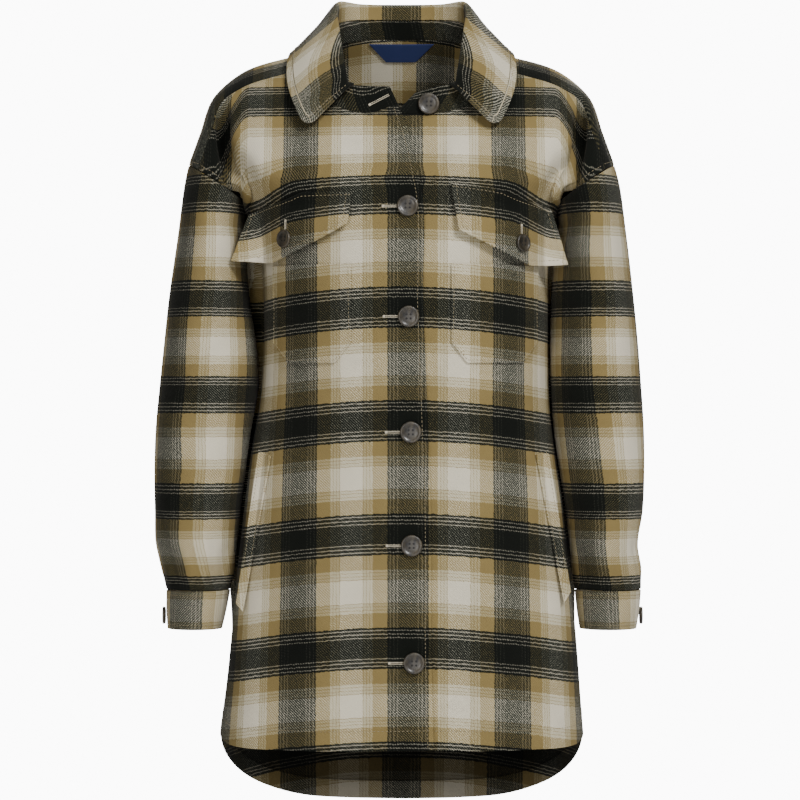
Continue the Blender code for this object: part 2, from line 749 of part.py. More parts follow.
def cloth(name, grid, into, colour, wall=WALL, closed=False):
    """A cloth piece: a sheet on the points with a wall of equal halves on both sides."""
    mesh = sheet_mesh(name, grid, closed)
    mesh.shade_smooth()
    mesh.set_sharp_from_angle(angle=CLOTH_CREASE)
    made = bpy.data.objects.new(name, mesh)
    into.objects.link(made)
    mesh.materials.append(material(name, colour, CLOTH_ROUGHNESS))
    solid = made.modifiers.new("wall", "SOLIDIFY")
    solid.thickness = wall * MM
    solid.offset = 0.0
    return made


def tree_of(grid):
    rows, columns = grid.shape[:2]
    points = [Vector(p) for p in grid.reshape(-1, 3)]
    faces = [
        (j * columns + i, j * columns + i + 1, (j + 1) * columns + i + 1, (j + 1) * columns + i)
        for j in range(rows - 1)
        for i in range(columns - 1)
    ]
    return BVHTree.FromPolygons(points, faces)


def on_front(trees, x, z, lift):
    """The point of the fronts seen at x and z in the front view, moved out by lift, and the
    direction out. Past the body's side it hangs level with the cloth beside it."""
    held = x
    if z < UNDERARM_Z:
        reach = HANGING_SHARE * table(BODY, 1 if x < 0 else 2, z)
        held = max(-reach, min(reach, x))
    for tree in trees:
        place, normal, _, _ = tree.ray_cast(Vector((held, -FAR, z)), Vector((0, 1, 0)))
        if place:
            normal = -normal if normal.y > 0 else normal
            past = Vector((x - held, 0, 0))
            return np.array(place + normal * lift + past), np.array(normal)
    raise ValueError(f"no front at {x}, {z}")


def laid(trees, corners, cells, lift):
    """A patch on the fronts: corners gives x and z for shares across and down, and lift the
    height off the cloth."""
    columns, rows = cells
    grid = np.empty((rows + 1, columns + 1, 3))
    for j in range(rows + 1):
        for i in range(columns + 1):
            x, z = corners(i / columns, j / rows)
            grid[j, i] = on_front(trees, x, z, lift(i / columns, j / rows))[0]
    return grid


def pocket(side, trees, into):
    inner, outer, top, bottom, cut, rise = POCKETS[side]

    def corners(across, down):
        x = inner + (outer - inner) * across
        edge = min(abs(x - inner), abs(x - outer))
        low = bottom + rise * max(0.0, 1 - edge / cut)
        return x, top + (low - top) * down

    grid = laid(trees, corners, POCKET_CELLS, lambda across, down: WALL + LYING_GAP)
    name = "chest_pocket_right" if side == RIGHT else "chest_pocket_left"
    return cloth(name, grid, into, CLOTH_TAN)


def flap(side, trees, into):
    top_in, top_mid, top_out, low_in, low_shoulder, point, low_out = FLAPS[side]
    top = np.array((top_in, top_mid, top_out), float)
    low = np.array((low_in, low_shoulder, point, low_out), float)

    def corners(across, down):
        upper = [np.interp(across, FLAP_TOP_SHARES, top[:, k]) for k in (0, 1)]
        lower = [np.interp(across, FLAP_FOOT_SHARES, low[:, k]) for k in (0, 1)]
        return [a + (b - a) * down for a, b in zip(upper, lower)]

    start = (WALL + DOUBLED_WALL) / 2 + LYING_GAP

    def lift(across, down):
        return start + FLAP_SIDE_LIFT * across + FLAP_STAND_OFF * down**FLAP_CURL

    grid = laid(trees, corners, FLAP_CELLS, lift)
    name = "pocket_flap_right" if side == RIGHT else "pocket_flap_left"
    return cloth(name, grid, into, CLOTH_CREAM, DOUBLED_WALL), tree_of(grid)


def welt(side, trees, into):
    front_top, front_low, back_top, back_low = WELTS[side]

    def corners(across, down):
        front = [a + (b - a) * down for a, b in zip(front_top, front_low)]
        back = [a + (b - a) * down for a, b in zip(back_top, back_low)]
        return [a + (b - a) * across for a, b in zip(front, back)]

    grid = laid(trees, corners, WELT_CELLS, lambda across, down: WALL + LYING_GAP)
    name = "pocket_welt_right" if side == RIGHT else "pocket_welt_left"
    return cloth(name, grid, into, CLOTH_DARK)


def button(name, place, facing, diameter, into):
    """A turned button with a raised rim and a dished middle, its back at the place."""
    r, t = diameter / 2, BUTTON_THICK
    mesh = bpy.data.meshes.new(name)
    bm = bmesh.new()
    verts = [bm.verts.new((x * r * MM, 0, z * t * MM)) for x, z in BUTTON_OUTLINE]
    for a, b in zip(verts, verts[1:]):
        bm.edges.new((a, b))
    bm.to_mesh(mesh)
    bm.free()
    made = bpy.data.objects.new(name, mesh)
    into.objects.link(made)
    mesh.materials.append(material(name, HORN, HORN_ROUGHNESS))
    turn = made.modifiers.new("turn", "SCREW")
    turn.steps = turn.render_steps = BUTTON_STEPS
    turn.use_merge_vertices = True
    turn.merge_threshold = 0.00005
    made.location = Vector(place) * MM
    made.rotation_euler = Vector(facing).to_track_quat("Z", "Y").to_euler()
    return made


def label(yoke, into):
    """The bare label inside the back neck, on the inner side of the yoke."""
    tree = tree_of(yoke)
    columns, rows = LABEL_CELLS
    grid = np.empty((rows + 1, columns + 1, 3))
    for j in range(rows + 1):
        for i in range(columns + 1):
            upper, lower = (
                left + (right - left) * i / columns
                for left, right in (LABEL_TOP_EDGE, LABEL_FOOT_EDGE)
            )
            x = upper + (lower - upper) * j / rows
            z = LABEL_TOP - LABEL_HEIGHT * j / rows
            place, normal, _, _ = tree.ray_cast(Vector((x, 0, z)), Vector((0, 1, 0)))
            normal = normal if normal.y < 0 else -normal
            grid[j, i] = place + normal * ((WALL + LABEL_WALL) / 2 + LYING_GAP)
    return cloth("neck_label", grid, into, LABEL_NAVY, LABEL_WALL)


def build():
    for old in list(bpy.data.objects):
        bpy.data.objects.remove(old)
    into = collection(COLLECTION)

    fronts = {side: front_grid(side) for side in (RIGHT, LEFT)}
    trees = [tree_of(fronts[RIGHT]), tree_of(fronts[LEFT])]
    back, yoke = back_grid(), yoke_grid()
    middle = sum(COLUMNS)
    over = {RIGHT: yoke[:2, middle::-1], LEFT: yoke[:2, middle:]}
    brow = np.full((2 * middle + 1, 1), NECK_SEAM)
    for side, name in ((RIGHT, "front_right"), (LEFT, "front_left")):
        grid = fronts[side]
        top = room(grid[-2] - grid[-1], over[side][1] - over[side][0])
        top[: NECK_COLUMNS + 1] = NECK_SEAM
        brow[middle + side * np.arange(NECK_COLUMNS + 1, middle + 1)] = top[NECK_COLUMNS + 1 :]
        sides = np.full((len(grid), 1), SIDE_SEAM)
        sides[LOWER_ROWS + 2 :] = ARMHOLE_SEAM
        cloth(name, drawn_in(grid, last_row=top, last_column=sides), into, CLOTH_TAN)
    sides = np.full((len(back), 1), SIDE_SEAM)
    sides[LOWER_ROWS + 2 :] = ARMHOLE_SEAM
    blade = room(back[-2] - back[-1], yoke[-2] - yoke[-1])
    panel = drawn_in(back, last_row=blade, first_column=sides, last_column=sides)
    cloth("back", panel, into, CLOTH_TAN)
    ends = {"first_column": ARMHOLE_SEAM, "last_column": ARMHOLE_SEAM}
    cloth("yoke", drawn_in(yoke, first_row=brow, last_row=blade, **ends), into, CLOTH_DARK)
    stand = stand_grid()
    cloth("collar_stand", drawn_in(stand, first_row=NECK_SEAM, last_row=SEAM), into, CLOTH_GREY)
    cloth("collar", drawn_in(collar_grid(), first_row=SEAM), into, CLOTH_GREY)
    for side, word in ((RIGHT, "right"), (LEFT, "left")):
        cloth(f"sleeve_{word}", sleeve_grid(side), into, CLOTH_TAN, closed=True)
        cloth(f"cuff_{word}", cuff_grid(side), into, CLOTH_DARK, closed=True)

    for side, word in ((RIGHT, "right"), (LEFT, "left")):
        pocket(side, trees, into)
        _, flap_tree = flap(side, trees, into)
        welt(side, trees, into)
        x, z = FLAP_BUTTONS[side]
        place, facing = on_front([flap_tree], x, z, DOUBLED_WALL / 2 + LYING_GAP)
        button(f"flap_button_{word}", place, facing, SMALL_BUTTON, into)

    for number, (x, z) in enumerate(zip(BUTTON_XS, FRONT_BUTTON_Z), 1):
        place, facing = on_front(trees, x, z, WALL / 2 + LYING_GAP)
        button(f"front_button_{number}", place, facing, BUTTON, into)
    place, facing = on_front([tree_of(stand)], *NECK_BUTTON, WALL / 2 + LYING_GAP)
    button("neck_button", place, facing, BUTTON, into)
    for side, word in ((RIGHT, "right"), (LEFT, "left")):
        outer = cuff_grid(side)[1, RING_STEPS // 2]
        place = outer + np.array((side * (WALL / 2 + LYING_GAP), 0, 0))
        button(f"cuff_button_{word}", place, (side, 0, 0), SMALL_BUTTON, into)
    label(yoke, into)


build()
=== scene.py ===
"""The looks of a checked flannel shirt-jacket: cloth shells, stitches, horn buttons and the light.

Every piece lies on its own solid of the frame. Tables and functions work in millimetres, and MM
turns them into metres when a mesh is made. The wearer's right is the -X side.
"""

import functools
import math

import bmesh
import bpy
import numpy as np
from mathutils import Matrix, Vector
from mathutils.bvhtree import BVHTree


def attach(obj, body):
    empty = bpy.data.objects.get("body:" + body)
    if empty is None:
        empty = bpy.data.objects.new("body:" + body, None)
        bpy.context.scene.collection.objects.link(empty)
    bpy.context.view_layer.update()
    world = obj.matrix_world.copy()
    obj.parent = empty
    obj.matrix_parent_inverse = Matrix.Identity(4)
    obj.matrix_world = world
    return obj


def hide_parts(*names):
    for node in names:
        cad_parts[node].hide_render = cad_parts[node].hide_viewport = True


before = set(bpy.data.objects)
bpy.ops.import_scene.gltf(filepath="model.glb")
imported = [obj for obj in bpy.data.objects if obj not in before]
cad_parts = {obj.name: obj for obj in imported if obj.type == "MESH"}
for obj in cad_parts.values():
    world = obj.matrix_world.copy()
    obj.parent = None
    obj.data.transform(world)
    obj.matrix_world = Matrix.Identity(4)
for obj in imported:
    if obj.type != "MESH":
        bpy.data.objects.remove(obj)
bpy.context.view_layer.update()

bl_info = {
    "name": "Checked shirt-jacket",
    "version": (1, 0, 0),
    "blender": (4, 5, 0),
    "location": "3D View > Sidebar > Shirt-jacket",
    "description": "Builds the looks of a checked flannel shirt-jacket on its solids",
    "category": "Add Mesh",
}

MM = 0.001
RIGHT, LEFT = -1, 1
FRONT, BACK = -1, 1

# Walls and gaps
WALL = 2.0
DOUBLED_WALL = 3.0
LABEL_WALL = 1.0
LYING_GAP = 0.9
FAR = 400.0

# Heights that several pieces share. The level rows below the arms start at TOP_LEVEL in the
# middle and dip by SIDE_DIP from DIP_FROM of the way to the side seam. UNDERARM_Z is the foot of
# the armhole.
UNDERARM_Z = -153.0
TOP_LEVEL, SIDE_DIP, DIP_FROM = -161.0, 25.0, 0.6
SIDE_HEM_Z = -705.0

# Body sections below the underarm: half widths to each side, depths to front and back, and the
# power of the curve between them, where 2 is an ellipse
BODY = (
    # z, right, left, front, back, power
    (-153, 162.0, 162.0, 124, 114, 2.35),
    (-186, 151.5, 156.0, 129, 113, 2.35),
    (-220, 145.5, 153.5, 131, 111, 2.35),
    (-256, 144.0, 153.5, 130, 109, 2.35),
    (-315, 144.0, 153.5, 127, 107, 2.30),
    (-361, 147.0, 154.0, 126, 108, 2.30),
    (-419, 156.0, 159.5, 126, 112, 2.30),
    (-466, 162.0, 167.0, 127, 118, 2.30),
    (-530, 169.5, 174.0, 130, 125, 2.30),
    (-588, 175.5, 180.5, 133, 131, 2.30),
    (-640, 181.0, 185.0, 135, 135, 2.30),
    (-678, 186.0, 188.0, 136, 138, 2.30),
    (-706, 190.0, 190.5, 137, 140, 2.30),
    (-800, 196.0, 196.0, 139, 143, 2.30),
)

# Hem height against the share of the way from the middle to the side seam
FRONT_HEM = (
    (0.0, -718), (0.5, -720), (0.72, -720), (0.86, -716), (0.95, -709), (1.0, SIDE_HEM_Z),
)
BACK_HEM = (
    (0.0, -796), (0.22, -795), (0.40, -790), (0.55, -779), (0.72, -757), (0.88, -728),
    (1.0, SIDE_HEM_Z),
)

# Rows of the solids below the underarm, and of the net that they are read from
LOWER_ROWS = 13
NET_ROWS = 25

# Where each front ends across the middle, and the line of the buttons
FRONT_EDGES = (
    # z, edge of the right front on top, line of the buttons, edge of the left front below
    (-55, -4, 28, -6),
    (-68, 1, 26, -7),
    (-92, 9, 17, -8),
    (-115, 14, 11, -8),
    (-150, 21, 7, -7),
    (-250, 22, 7, -11),
    (-360, 26, 9, -10),
    (-480, 30, 10, -9),
    (-600, 30, 12, -8),
    (-725, 33, 14, -6),
)
LAP = 3.2
LAP_FADE, LAP_MARGIN = 55.0, 8.0

# The armhole seam: a tilted ring round the top of the arm, counted in steps from the underarm,
# forwards and up over the shoulder
RING_STEPS = 20
RING_MIDDLE = (192.5, 2.0, -133.5)
RING_REACH = (30.5, 19.5)
RING_DEPTH = 88.0
FRONT_STEP = 7
BACK_STEP = 15

# Depth of the chest in front of the shoulder line, by height
CHEST_DEPTH = (
    (-153, 124), (-128, 121), (-98, 112), (-80, 104), (-62, 92), (-40, 72), (-20, 49), (-8, 35),
    (10, 8),
)
CHEST_HALF = 176.0
CHEST_POWER = 2.5

# Ten stations lie between the middle and the side of a body panel. SHARES are their places on a
# level line below the underarm.
STATIONS = (
    "edge", "neck_1", "neck_2", "neck_3", "neck", "shoulder", "ridge", "valley", "cap", "ring",
)
SHARES = (0.0, 0.10, 0.20, 0.29, 0.38, 0.51, 0.68, 0.80, 0.90, 1.0)
COLUMNS = (1, 1, 1, 1, 2, 3, 3, 2, 2)
NECK_STATION = STATIONS.index("neck")
NECK_COLUMNS = sum(COLUMNS[:NECK_STATION])

# Upper front, one row for each line from the front edge to the armhole. A station is its distance
# out and its height, and its depth where the chest's own depth doesn't give it.
UPPER_FRONT = (
    # step, then neck_1 to shoulder, and ridge to cap
    (0.0, (8, -146), (30, -146), (50, -146), (69, -146), (101, -146),
     (137, -149, -80), (152, -156, -51), (158, -164, -28)),
    (2.0, (18, -127), (38, -127), (54, -127), (70, -127), (106, -128),
     (144, -130, -90), (159, -137, -62), (165, -145, -62)),
    (4.0, (22, -99), (46, -99), (61, -98), (77, -97), (114, -98),
     (157, -102, -86), (171, -109, -52), (180, -122, -72)),
    (5.5, (27, -84), (55, -81), (70, -72), (82, -58), (119, -62),
     (163, -72, -70), (180, -82, -50), (190, -105, -72)),
    (7.0, (35, -66), (64, -59), (80, -34), (84, -8), (121, -21),
     (166, -36, -44), (187, -51, -49), (199, -87, -62)),
)
UPPER_EDGE = {
    # step and height at the front edge
    RIGHT: ((0, -146), (2, -127), (4, -99), (5.5, -79), (7, -55)),
    LEFT: ((0, -146), (2, -129), (4, -104), (5.5, -86), (7, -66)),
}

# Upper back, between the underarm and the yoke's seam
UPPER_BACK = (
    # step, then distance out, depth and height at each station
    (20.0, (0, 114, -146), (24, 114, -146), (48, 113, -146), (69, 111, -146), (89, 106, -146),
     (113, 98, -146), (139, 80, -149), (153, 51, -156), (158, 28, -164)),
    (17.5, (0, 115, -133), (23, 115, -133), (46, 114, -133), (70, 113, -133), (92, 109, -133),
     (117, 102, -134), (149, 88, -136), (162, 68, -139), (168, 71, -144)),
    (15.0, (0, 115, -118), (23, 115, -118), (46, 114, -118), (70, 113, -118), (92, 110, -118),
     (118, 105, -119), (152, 88, -122), (170, 68, -126), (184, 82, -131)),
)

# The yoke between its front edge and its back seam: over the shoulder's ridge and the shoulder
# blade. Stations from the neck inwards start on the neckline.
YOKE_RIDGE_STEP, YOKE_BLADE_STEP = 10.0, 12.5
YOKE_STEPS = (FRONT_STEP, YOKE_RIDGE_STEP, YOKE_BLADE_STEP, BACK_STEP)
YOKE = (
    # station, start on the neckline, ridge, blade
    ("edge", (0, 54, 24), (0, 77, -10), (0, 102, -64)),
    ("neck_1", (36, 50, 23), (36, 74, -10), (30, 101, -63)),
    ("neck_2", (64, 36, 18), (64, 62, -9), (58, 96, -61)),
    ("neck_3", (81, 4, 10), (88, 38, -1), (82, 88, -56)),
    ("neck", None, (97, 6, 4), (103, 72, -45)),
    ("shoulder", None, (122, 5, -1), (128, 70, -50)),
    ("ridge", None, (170, 4, -18), (167, 62, -62)),
    ("valley", None, (199, 4, -46), (194, 58, -82)),
    ("cap", None, (213, 4, -86), (208, 60, -106)),
)

# Upper edge of the collar stand from the middle of the back to the front, over the neckline's
# stations, and its front ends
STAND_TOP = (
    (0, 50, 43), (38, 45, 43), (60, 27, 40), (71, 0, 32), (72, -35, 13), (69, -63, -11),
    (59, -82, -33), (38, -92, -37),
)
STAND_ENDS = {RIGHT: (-12, -94, -38), LEFT: (14, -92, -44)}

# Collar: its seam on the stand, its roll line, the middle of its fall and its outer edge
COLLAR = (
    # seam, roll, middle, edge: distance out, depth, height
    ((0, 50, 44), (0, 57, 61), (0, 72, 34), (0, 88, 2)),
    ((38, 45, 44), (42, 51, 61), (52, 66, 34), (64, 83, 2)),
    ((60, 27, 41), (64, 26, 61), (84, 40, 33), (103, 54, 4)),
    ((71, 0, 33), (68, -4, 51), (92, -2, 29), (114, 6, 7)),
    ((72, -35, 14), (65, -40, 22), (90, -48, 8), (119, -36, -6)),
    ((69, -63, -10), (61, -69, -8), (86, -84, -22), (118, -66, -33)),
    ((59, -83, -32), (57, -90, -30), (80, -101, -48), (110, -93, -58)),
    ((49, -90, -35), (55, -97, -40), (76, -106, -61), (98, -106, -83)),
)

# Sleeve rings: outermost and innermost point, and the depths of front and back. The first ring
# is the armhole.
SLEEVES = (
    # right out and in, left out and in, height outside and inside, front, back
    (227, 167.5, 228, 166.5, -131, -176, -87, 88),
    (234, 164.5, 235.5, 161.5, -184, -212, -87, 82),
    (244, 160.0, 243.5, 158.0, -255, -262, -84, 72),
    (248.5, 153.5, 247.5, 157.3, -298, -302, -82, 65),
    (252.7, 151.0, 250.6, 157.6, -340, -342, -82, 60),
    (257.4, 159.0, 253.7, 161.0, -393, -393, -84, 53),
    (258.4, 163.5, 254.0, 165.5, -427, -427, -85, 47),
    (257.7, 169.5, 252.0, 173.0, -477, -477, -84, 40),
    (256.4, 173.5, 247.0, 177.0, -514, -514, -81, 33),
    (251.6, 175.5, 251.0, 179.0, -537, -537, -77, 26),
    (245.3, 180.5, 250.0, 182.5, -558.5, -558.5, -69, 18),
)
RING_SEAM = 1.0
RING_UNDERARM_GAP = 2.6
SLEEVE_ROWS = 10
GATHERED_RINGS, GATHERED_ROWS = 4, 7

# Cuff rings from the top down: height, depths of front and back, then out and in
CUFF_RINGS = ((-559.6, -69, 18), (-579.8, -68.5, 16.5), (-600.0, -66, 13))
CUFFS = {
    RIGHT: ((245.3, 180.5), (245.5, 184.2), (244.2, 189.0)),
    LEFT: ((250.0, 182.5), (248.3, 184.4), (245.0, 187.5)),
}

# Large soft folds: a straight stretch in the front view, its reach across and its depth, where a
# plus is a ridge
FOLDS = {
    FRONT: (
        # x, z, x, z, reach, depth
        (-150, -250, -168, -690, 16, 3.5), (-118, -470, -132, -725, 20, -4.0),
        (-78, -520, -84, -725, 22, 3.0), (45, -75, 41, -122, 7, -2.5),
        (84, -500, 92, -725, 22, 3.0), (124, -460, 140, -725, 20, -4.0),
        (152, -300, 172, -690, 16, 3.0),
    ),
    BACK: (
        (-146, -180, -160, -690, 18, 3.5), (-104, -210, -118, -780, 22, -6.0),
        (-52, -330, -62, -790, 26, 5.0), (10, -260, 4, -790, 26, -4.5),
        (66, -340, 72, -790, 26, 5.0), (112, -230, 124, -780, 22, -6.0),
        (150, -200, 164, -690, 18, 3.5),
    ),
}

# A fold grows over the first FOLD_GROWS of its length and dies over FOLD_FADES before FOLD_ENDS,
# in lengths. It is calm over the last SEAM_CALM of the way to the side seam.
FOLD_GROWS, FOLD_ENDS, FOLD_FADES = 0.35, 1.15, 0.3
SEAM_CALM = 0.14

# Sleeve folds: place round the ring in steps, top and bottom height, reach in steps and depth
SLEEVE_FOLDS = (
    (3.2, -190, -330, 1.6, -4.0), (6.6, -240, -420, 1.6, 3.0), (16.5, -200, -360, 1.8, -4.5),
    (14.0, -320, -480, 1.8, -4.0), (4.4, -350, -470, 1.8, -4.5),
)
SLEEVE_FOLD_FADES = 0.3

# Gathers into the cuff: place in steps, top height, reach in steps and depth
GATHERS = (
    (2.4, -500, 1.0, -5.0), (6.8, -505, 1.0, -4.5), (11.0, -505, 1.1, -4.0),
    (14.6, -500, 1.0, -5.0),
)
GATHER_FOOT, GATHER_GROWS, GATHER_FADES = -558.4, 30.0, 12.0

# Chest pockets, flaps and welts in the front view: distances from the middle line and heights
POCKETS = {
    # inner, outer, top, bottom, width of the cut corner, height of the cut corner
    RIGHT: (-51.0, -131.0, -222.0, -323.0, 16.0, 21.0),
    LEFT: (50.5, 139.0, -222.0, -323.0, 16.0, 21.0),
}
FLAPS = {
    # top inner, top middle, top outer, then bottom inner, shoulder of the point, point, outer
    RIGHT: ((-50, -148), (-100, -147), (-154, -168), (-53, -182), (-86, -200), (-124, -219),
            (-166, -216)),
    LEFT: ((50, -139), (100, -145), (151, -164), (57, -188), (92, -206), (125, -223),
           (162, -221)),
}
FLAP_TOP_SHARES = (0.0, 0.5, 1.0)
FLAP_FOOT_SHARES = (0.0, 0.32, 0.64, 1.0)
FLAP_STAND_OFF = 7.0
HANGING_SHARE = 0.90
FLAP_SIDE_LIFT = 1.8
FLAP_CURL = 0.8
WELTS = {
    # front edge top and bottom, back edge top and bottom
    RIGHT: ((-133, -419), (-162, -581), (-146, -413), (-169.5, -572)),
    LEFT: ((137, -418), (166, -572), (150, -413), (173.5, -560)),
}

# Buttons: diameters, thickness and places in the front view
BUTTON, SMALL_BUTTON = 22.0, 18.5
BUTTON_THICK = 3.4
FRONT_BUTTON_Z = (-163.0, -275.5, -394.0, -510.0, -629.5)
BUTTON_XS = (6.2, 7.2, 9.4, 10.3, 12.8)
NECK_BUTTON = (28.0, -56.0)
FLAP_BUTTONS = {RIGHT: (-118.5, -195.5), LEFT: (122.5, -200.0)}

# Label inside the back neck: its top and bottom edge from side to side, its top and its height
LABEL_TOP_EDGE, LABEL_FOOT_EDGE = (-35.5, 35.5), (-16.5, 15.0)
LABEL_TOP, LABEL_HEIGHT = 20.5, 18.0


def smooth(knots, values, at):
    """The curve through values at knots whose slopes follow from the neighbours, read at at."""
    knots, values, at = (np.asarray(x, float) for x in (knots, values, at))
    flat = values.reshape(len(knots), -1)
    step = np.diff(knots)[:, None]
    rise = np.diff(flat, axis=0) / step
    slope = np.empty_like(flat)
    slope[0], slope[-1] = rise[0], rise[-1]
    slope[1:-1] = (rise[:-1] * step[1:] + rise[1:] * step[:-1]) / (step[1:] + step[:-1])
    i = np.clip(np.searchsorted(knots, at, side="right") - 1, 0, len(knots) - 2)
    h = step[i]
    t = ((at - knots[i])[:, None]) / h
    out = (
        flat[i] * (1 + 2 * t) * (1 - t) ** 2
        + slope[i] * h * t * (1 - t) ** 2
        + flat[i + 1] * t * t * (3 - 2 * t)
        + slope[i + 1] * h * t * t * (t - 1)
    )
    return out.reshape((len(at),) + values.shape[1:])


def table(rows, column, at):
    """One column of a table read against its first, at one value or several. Either order of the
    first column will do."""
    rows = sorted(rows, key=lambda row: row[0])
    found = smooth([row[0] for row in rows], [row[column] for row in rows], np.atleast_1d(at))
    return found if np.ndim(at) else float(found[0])


def chords(points):
    """The length along a line of points at each of them."""
    return np.concatenate(([0], np.cumsum(np.linalg.norm(np.diff(points, axis=0), axis=1))))


def through(points, places, at):
    """A smooth curve through points that stand at places, read at at."""
    length = chords(points)
    return smooth(length, points, np.interp(at, places, length))


def surface(net, rows, stations, at_rows, at_stations):
    """A smooth sheet through a net of points, as a grid of points."""
    lines = np.stack([through(net[:, i], rows, at_rows) for i in range(net.shape[1])], 1)
    return np.stack([through(line, stations, at_stations) for line in lines])


def spread(knots, counts):
    """Values from the first knot to the last, with the given number of steps between each two."""
    found = [
        a + (b - a) * np.arange(count) / count for a, b, count in zip(knots, knots[1:], counts)
    ]
    return np.concatenate(found + [[knots[-1]]])


def ease(t):
    t = np.clip(t, 0.0, 1.0)
    return t * t * (3 - 2 * t)


def ring(step, side):
    """A point of the armhole seam. Step 0 is the underarm and step 10 the top."""
    angle = 2 * math.pi * step / RING_STEPS
    out = RING_MIDDLE[0] - RING_REACH[0] * math.cos(angle)
    deep = RING_MIDDLE[1] - RING_DEPTH * math.sin(angle)
    up = RING_MIDDLE[2] - RING_REACH[1] * math.cos(angle)
    return np.array((side * out, deep, up))


def section(z, side, face, start_x=0.0, count=160):
    """A level line on the body from start_x to the side seam, as many points."""
    half = table(BODY, 2 if side == LEFT else 1, z)
    depth = table(BODY, 4 if face == BACK else 3, z)
    power = table(BODY, 5, z)
    angle = np.linspace(0, math.pi / 2, count)
    x = side * half * np.sin(angle) ** (2 / power)
    y = face * depth * np.cos(angle) ** (2 / power)
    if side * start_x < 0:
        past = np.linspace(start_x, 0, 12)[:-1]
        x, y = np.concatenate((past, x)), np.concatenate((np.full(len(past), face * depth), y))
    return np.stack((x, y, np.full(len(x), z)), 1)


def at_shares(line, shares):
    """Points of a line at the given shares of its length."""
    length = chords(line)
    at = np.array(shares) * length[-1]
    return np.stack([np.interp(at, length, line[:, k]) for k in range(3)], 1)


def chest_depth(out, z):
    round_side = (1 - (abs(out) / CHEST_HALF) ** CHEST_POWER) ** (1 / CHEST_POWER)
    return -table(CHEST_DEPTH, 1, z) * round_side


def front_edge(z, side):
    return table(FRONT_EDGES, 1 if side == RIGHT else 3, z)


def body_net(face, side, lower):
    """The lower part of a panel's net: rows from the underarm at 0 down to the hem at 1, each
    with ten stations. The hem is lower at some stations than at others."""
    shares = np.array(SHARES)
    hem = table(FRONT_HEM if face == FRONT else BACK_HEM, 1, shares)
    top = TOP_LEVEL - SIDE_DIP * ease((shares - DIP_FROM) / (1 - DIP_FROM))
    net = np.empty((len(lower), len(shares), 3))
    for j, down in enumerate(lower):
        for i, share in enumerate(shares):
            z = top[i] + (hem[i] - top[i]) * down
            start = front_edge(z, side) if face == FRONT else 0.0
            net[j, i] = at_shares(section(z, side, face, start), [share])[0]
    return net


def upper_front_net(side):
    rows, steps = [], []
    for step, *stations in UPPER_FRONT:
        z = table(UPPER_EDGE[side], 1, step)
        x = front_edge(z, side)
        line = [(x, chest_depth(x, z), z)]
        for out, up, *deep in stations:
            line.append((side * out, deep[0] if deep else chest_depth(out, up), up))
        rows.append(line + [tuple(ring(step, side))])
        steps.append(step)
    return steps, np.array(rows)


def upper_back_net(side):
    rows, steps = [], []
    for step, *stations in UPPER_BACK:
        line = [(side * out, deep, up) for out, deep, up in stations]
        rows.append(line + [tuple(ring(step, side))])
        steps.append(step)
    return steps, np.array(rows)


def swell(along, fades):
    """Rises from 0 at the start of a stretch to 1, and falls back to 0 at its end."""
    return ease(along / fades) * ease((1 - along) / fades)


def pressed(off, gap, reach, depth, grown):
    """How far a fold moves the points of a sheet along off. gap is the way from its line."""
    return off * (depth * np.exp(-((gap / reach) ** 2)) * grown)[..., None]


def folded(grid, face, shares):
    """The grid with the large folds of that face raised or sunk. They die out at the side seam."""
    level = unit(grid * (1, 1, 0))
    moved = grid.copy()
    still = ease((1 - shares) / SEAM_CALM)[None, :]
    for x0, z0, x1, z1, reach, depth in FOLDS[face]:
        along = (grid[..., 2] - z0) / (z1 - z0)
        middle = x0 + (x1 - x0) * np.clip(along, 0, 1)
        grown = ease(along / FOLD_GROWS) * ease((FOLD_ENDS - along) / FOLD_FADES)
        moved += pressed(level, grid[..., 0] - middle, reach, depth, grown * still)
    return moved


def yoke_net(side):
    """The yoke's rows: its front edge and the neckline, the ridge, the blade and the back seam."""
    top, seam = upper_front_net(side)[1][-1], upper_back_net(side)[1][-1]
    net = []
    for i, (_, start, ridge, blade) in enumerate(YOKE):
        first = top[i] if start is None else (side * start[0],) + start[1:]
        net.append([first, (side * ridge[0],) + ridge[1:], (side * blade[0],) + blade[1:], seam[i]])
    net.append([ring(step, side) for step in YOKE_STEPS])
    return np.array(net, float).transpose(1, 0, 2)


def carried_on(rows, beyond):
    """The row that follows a net's last one, so that two pieces meet without a kink: the
    neighbour's from the neck outwards, and the net's own run carried on inside it."""
    guessed = 2 * rows[-1] - rows[-2]
    guessed[NECK_STATION:] = beyond[NECK_STATION:]
    return guessed


def half_panel(face, side, steps, upper, fine):
    """Half a body panel: rows from the hem up, columns from the middle out. upper holds the net's
    rows above the underarm at the given steps, and the last of them is beyond the panel."""
    below = np.linspace(0, 1, NET_ROWS)
    net = np.concatenate((body_net(face, side, below)[::-1], upper))
    rows = np.concatenate((-1 - below[::-1] * LOWER_ROWS, steps))
    at = np.arange(-fine * (1 + LOWER_ROWS), round(fine * steps[-2]) + 1) / fine
    across = spread(SHARES, fine * np.array(COLUMNS))
    grid = surface(net, rows, SHARES, at, across)
    for k, step in enumerate(at):
        if step >= 0:
            grid[k, -1] = ring(step if face == FRONT else RING_STEPS - step, side)
    return folded(grid, face, across)


def whole(halves):
    """Two half sheets, both from the middle out, as one from the right side to the left."""
    return np.concatenate((halves[0][:, ::-1], halves[1][:, 1:]), axis=1)


def front_grid(side, fine):
    """The middle surface of a front: rows run from the hem up, columns from the front edge out."""
    steps, upper = upper_front_net(side)
    upper = np.concatenate((upper, [carried_on(upper, yoke_net(side)[1])]))
    grid = half_panel(FRONT, side, (*steps, YOKE_RIDGE_STEP), upper, fine)
    return lapped(grid) if side == LEFT else grid


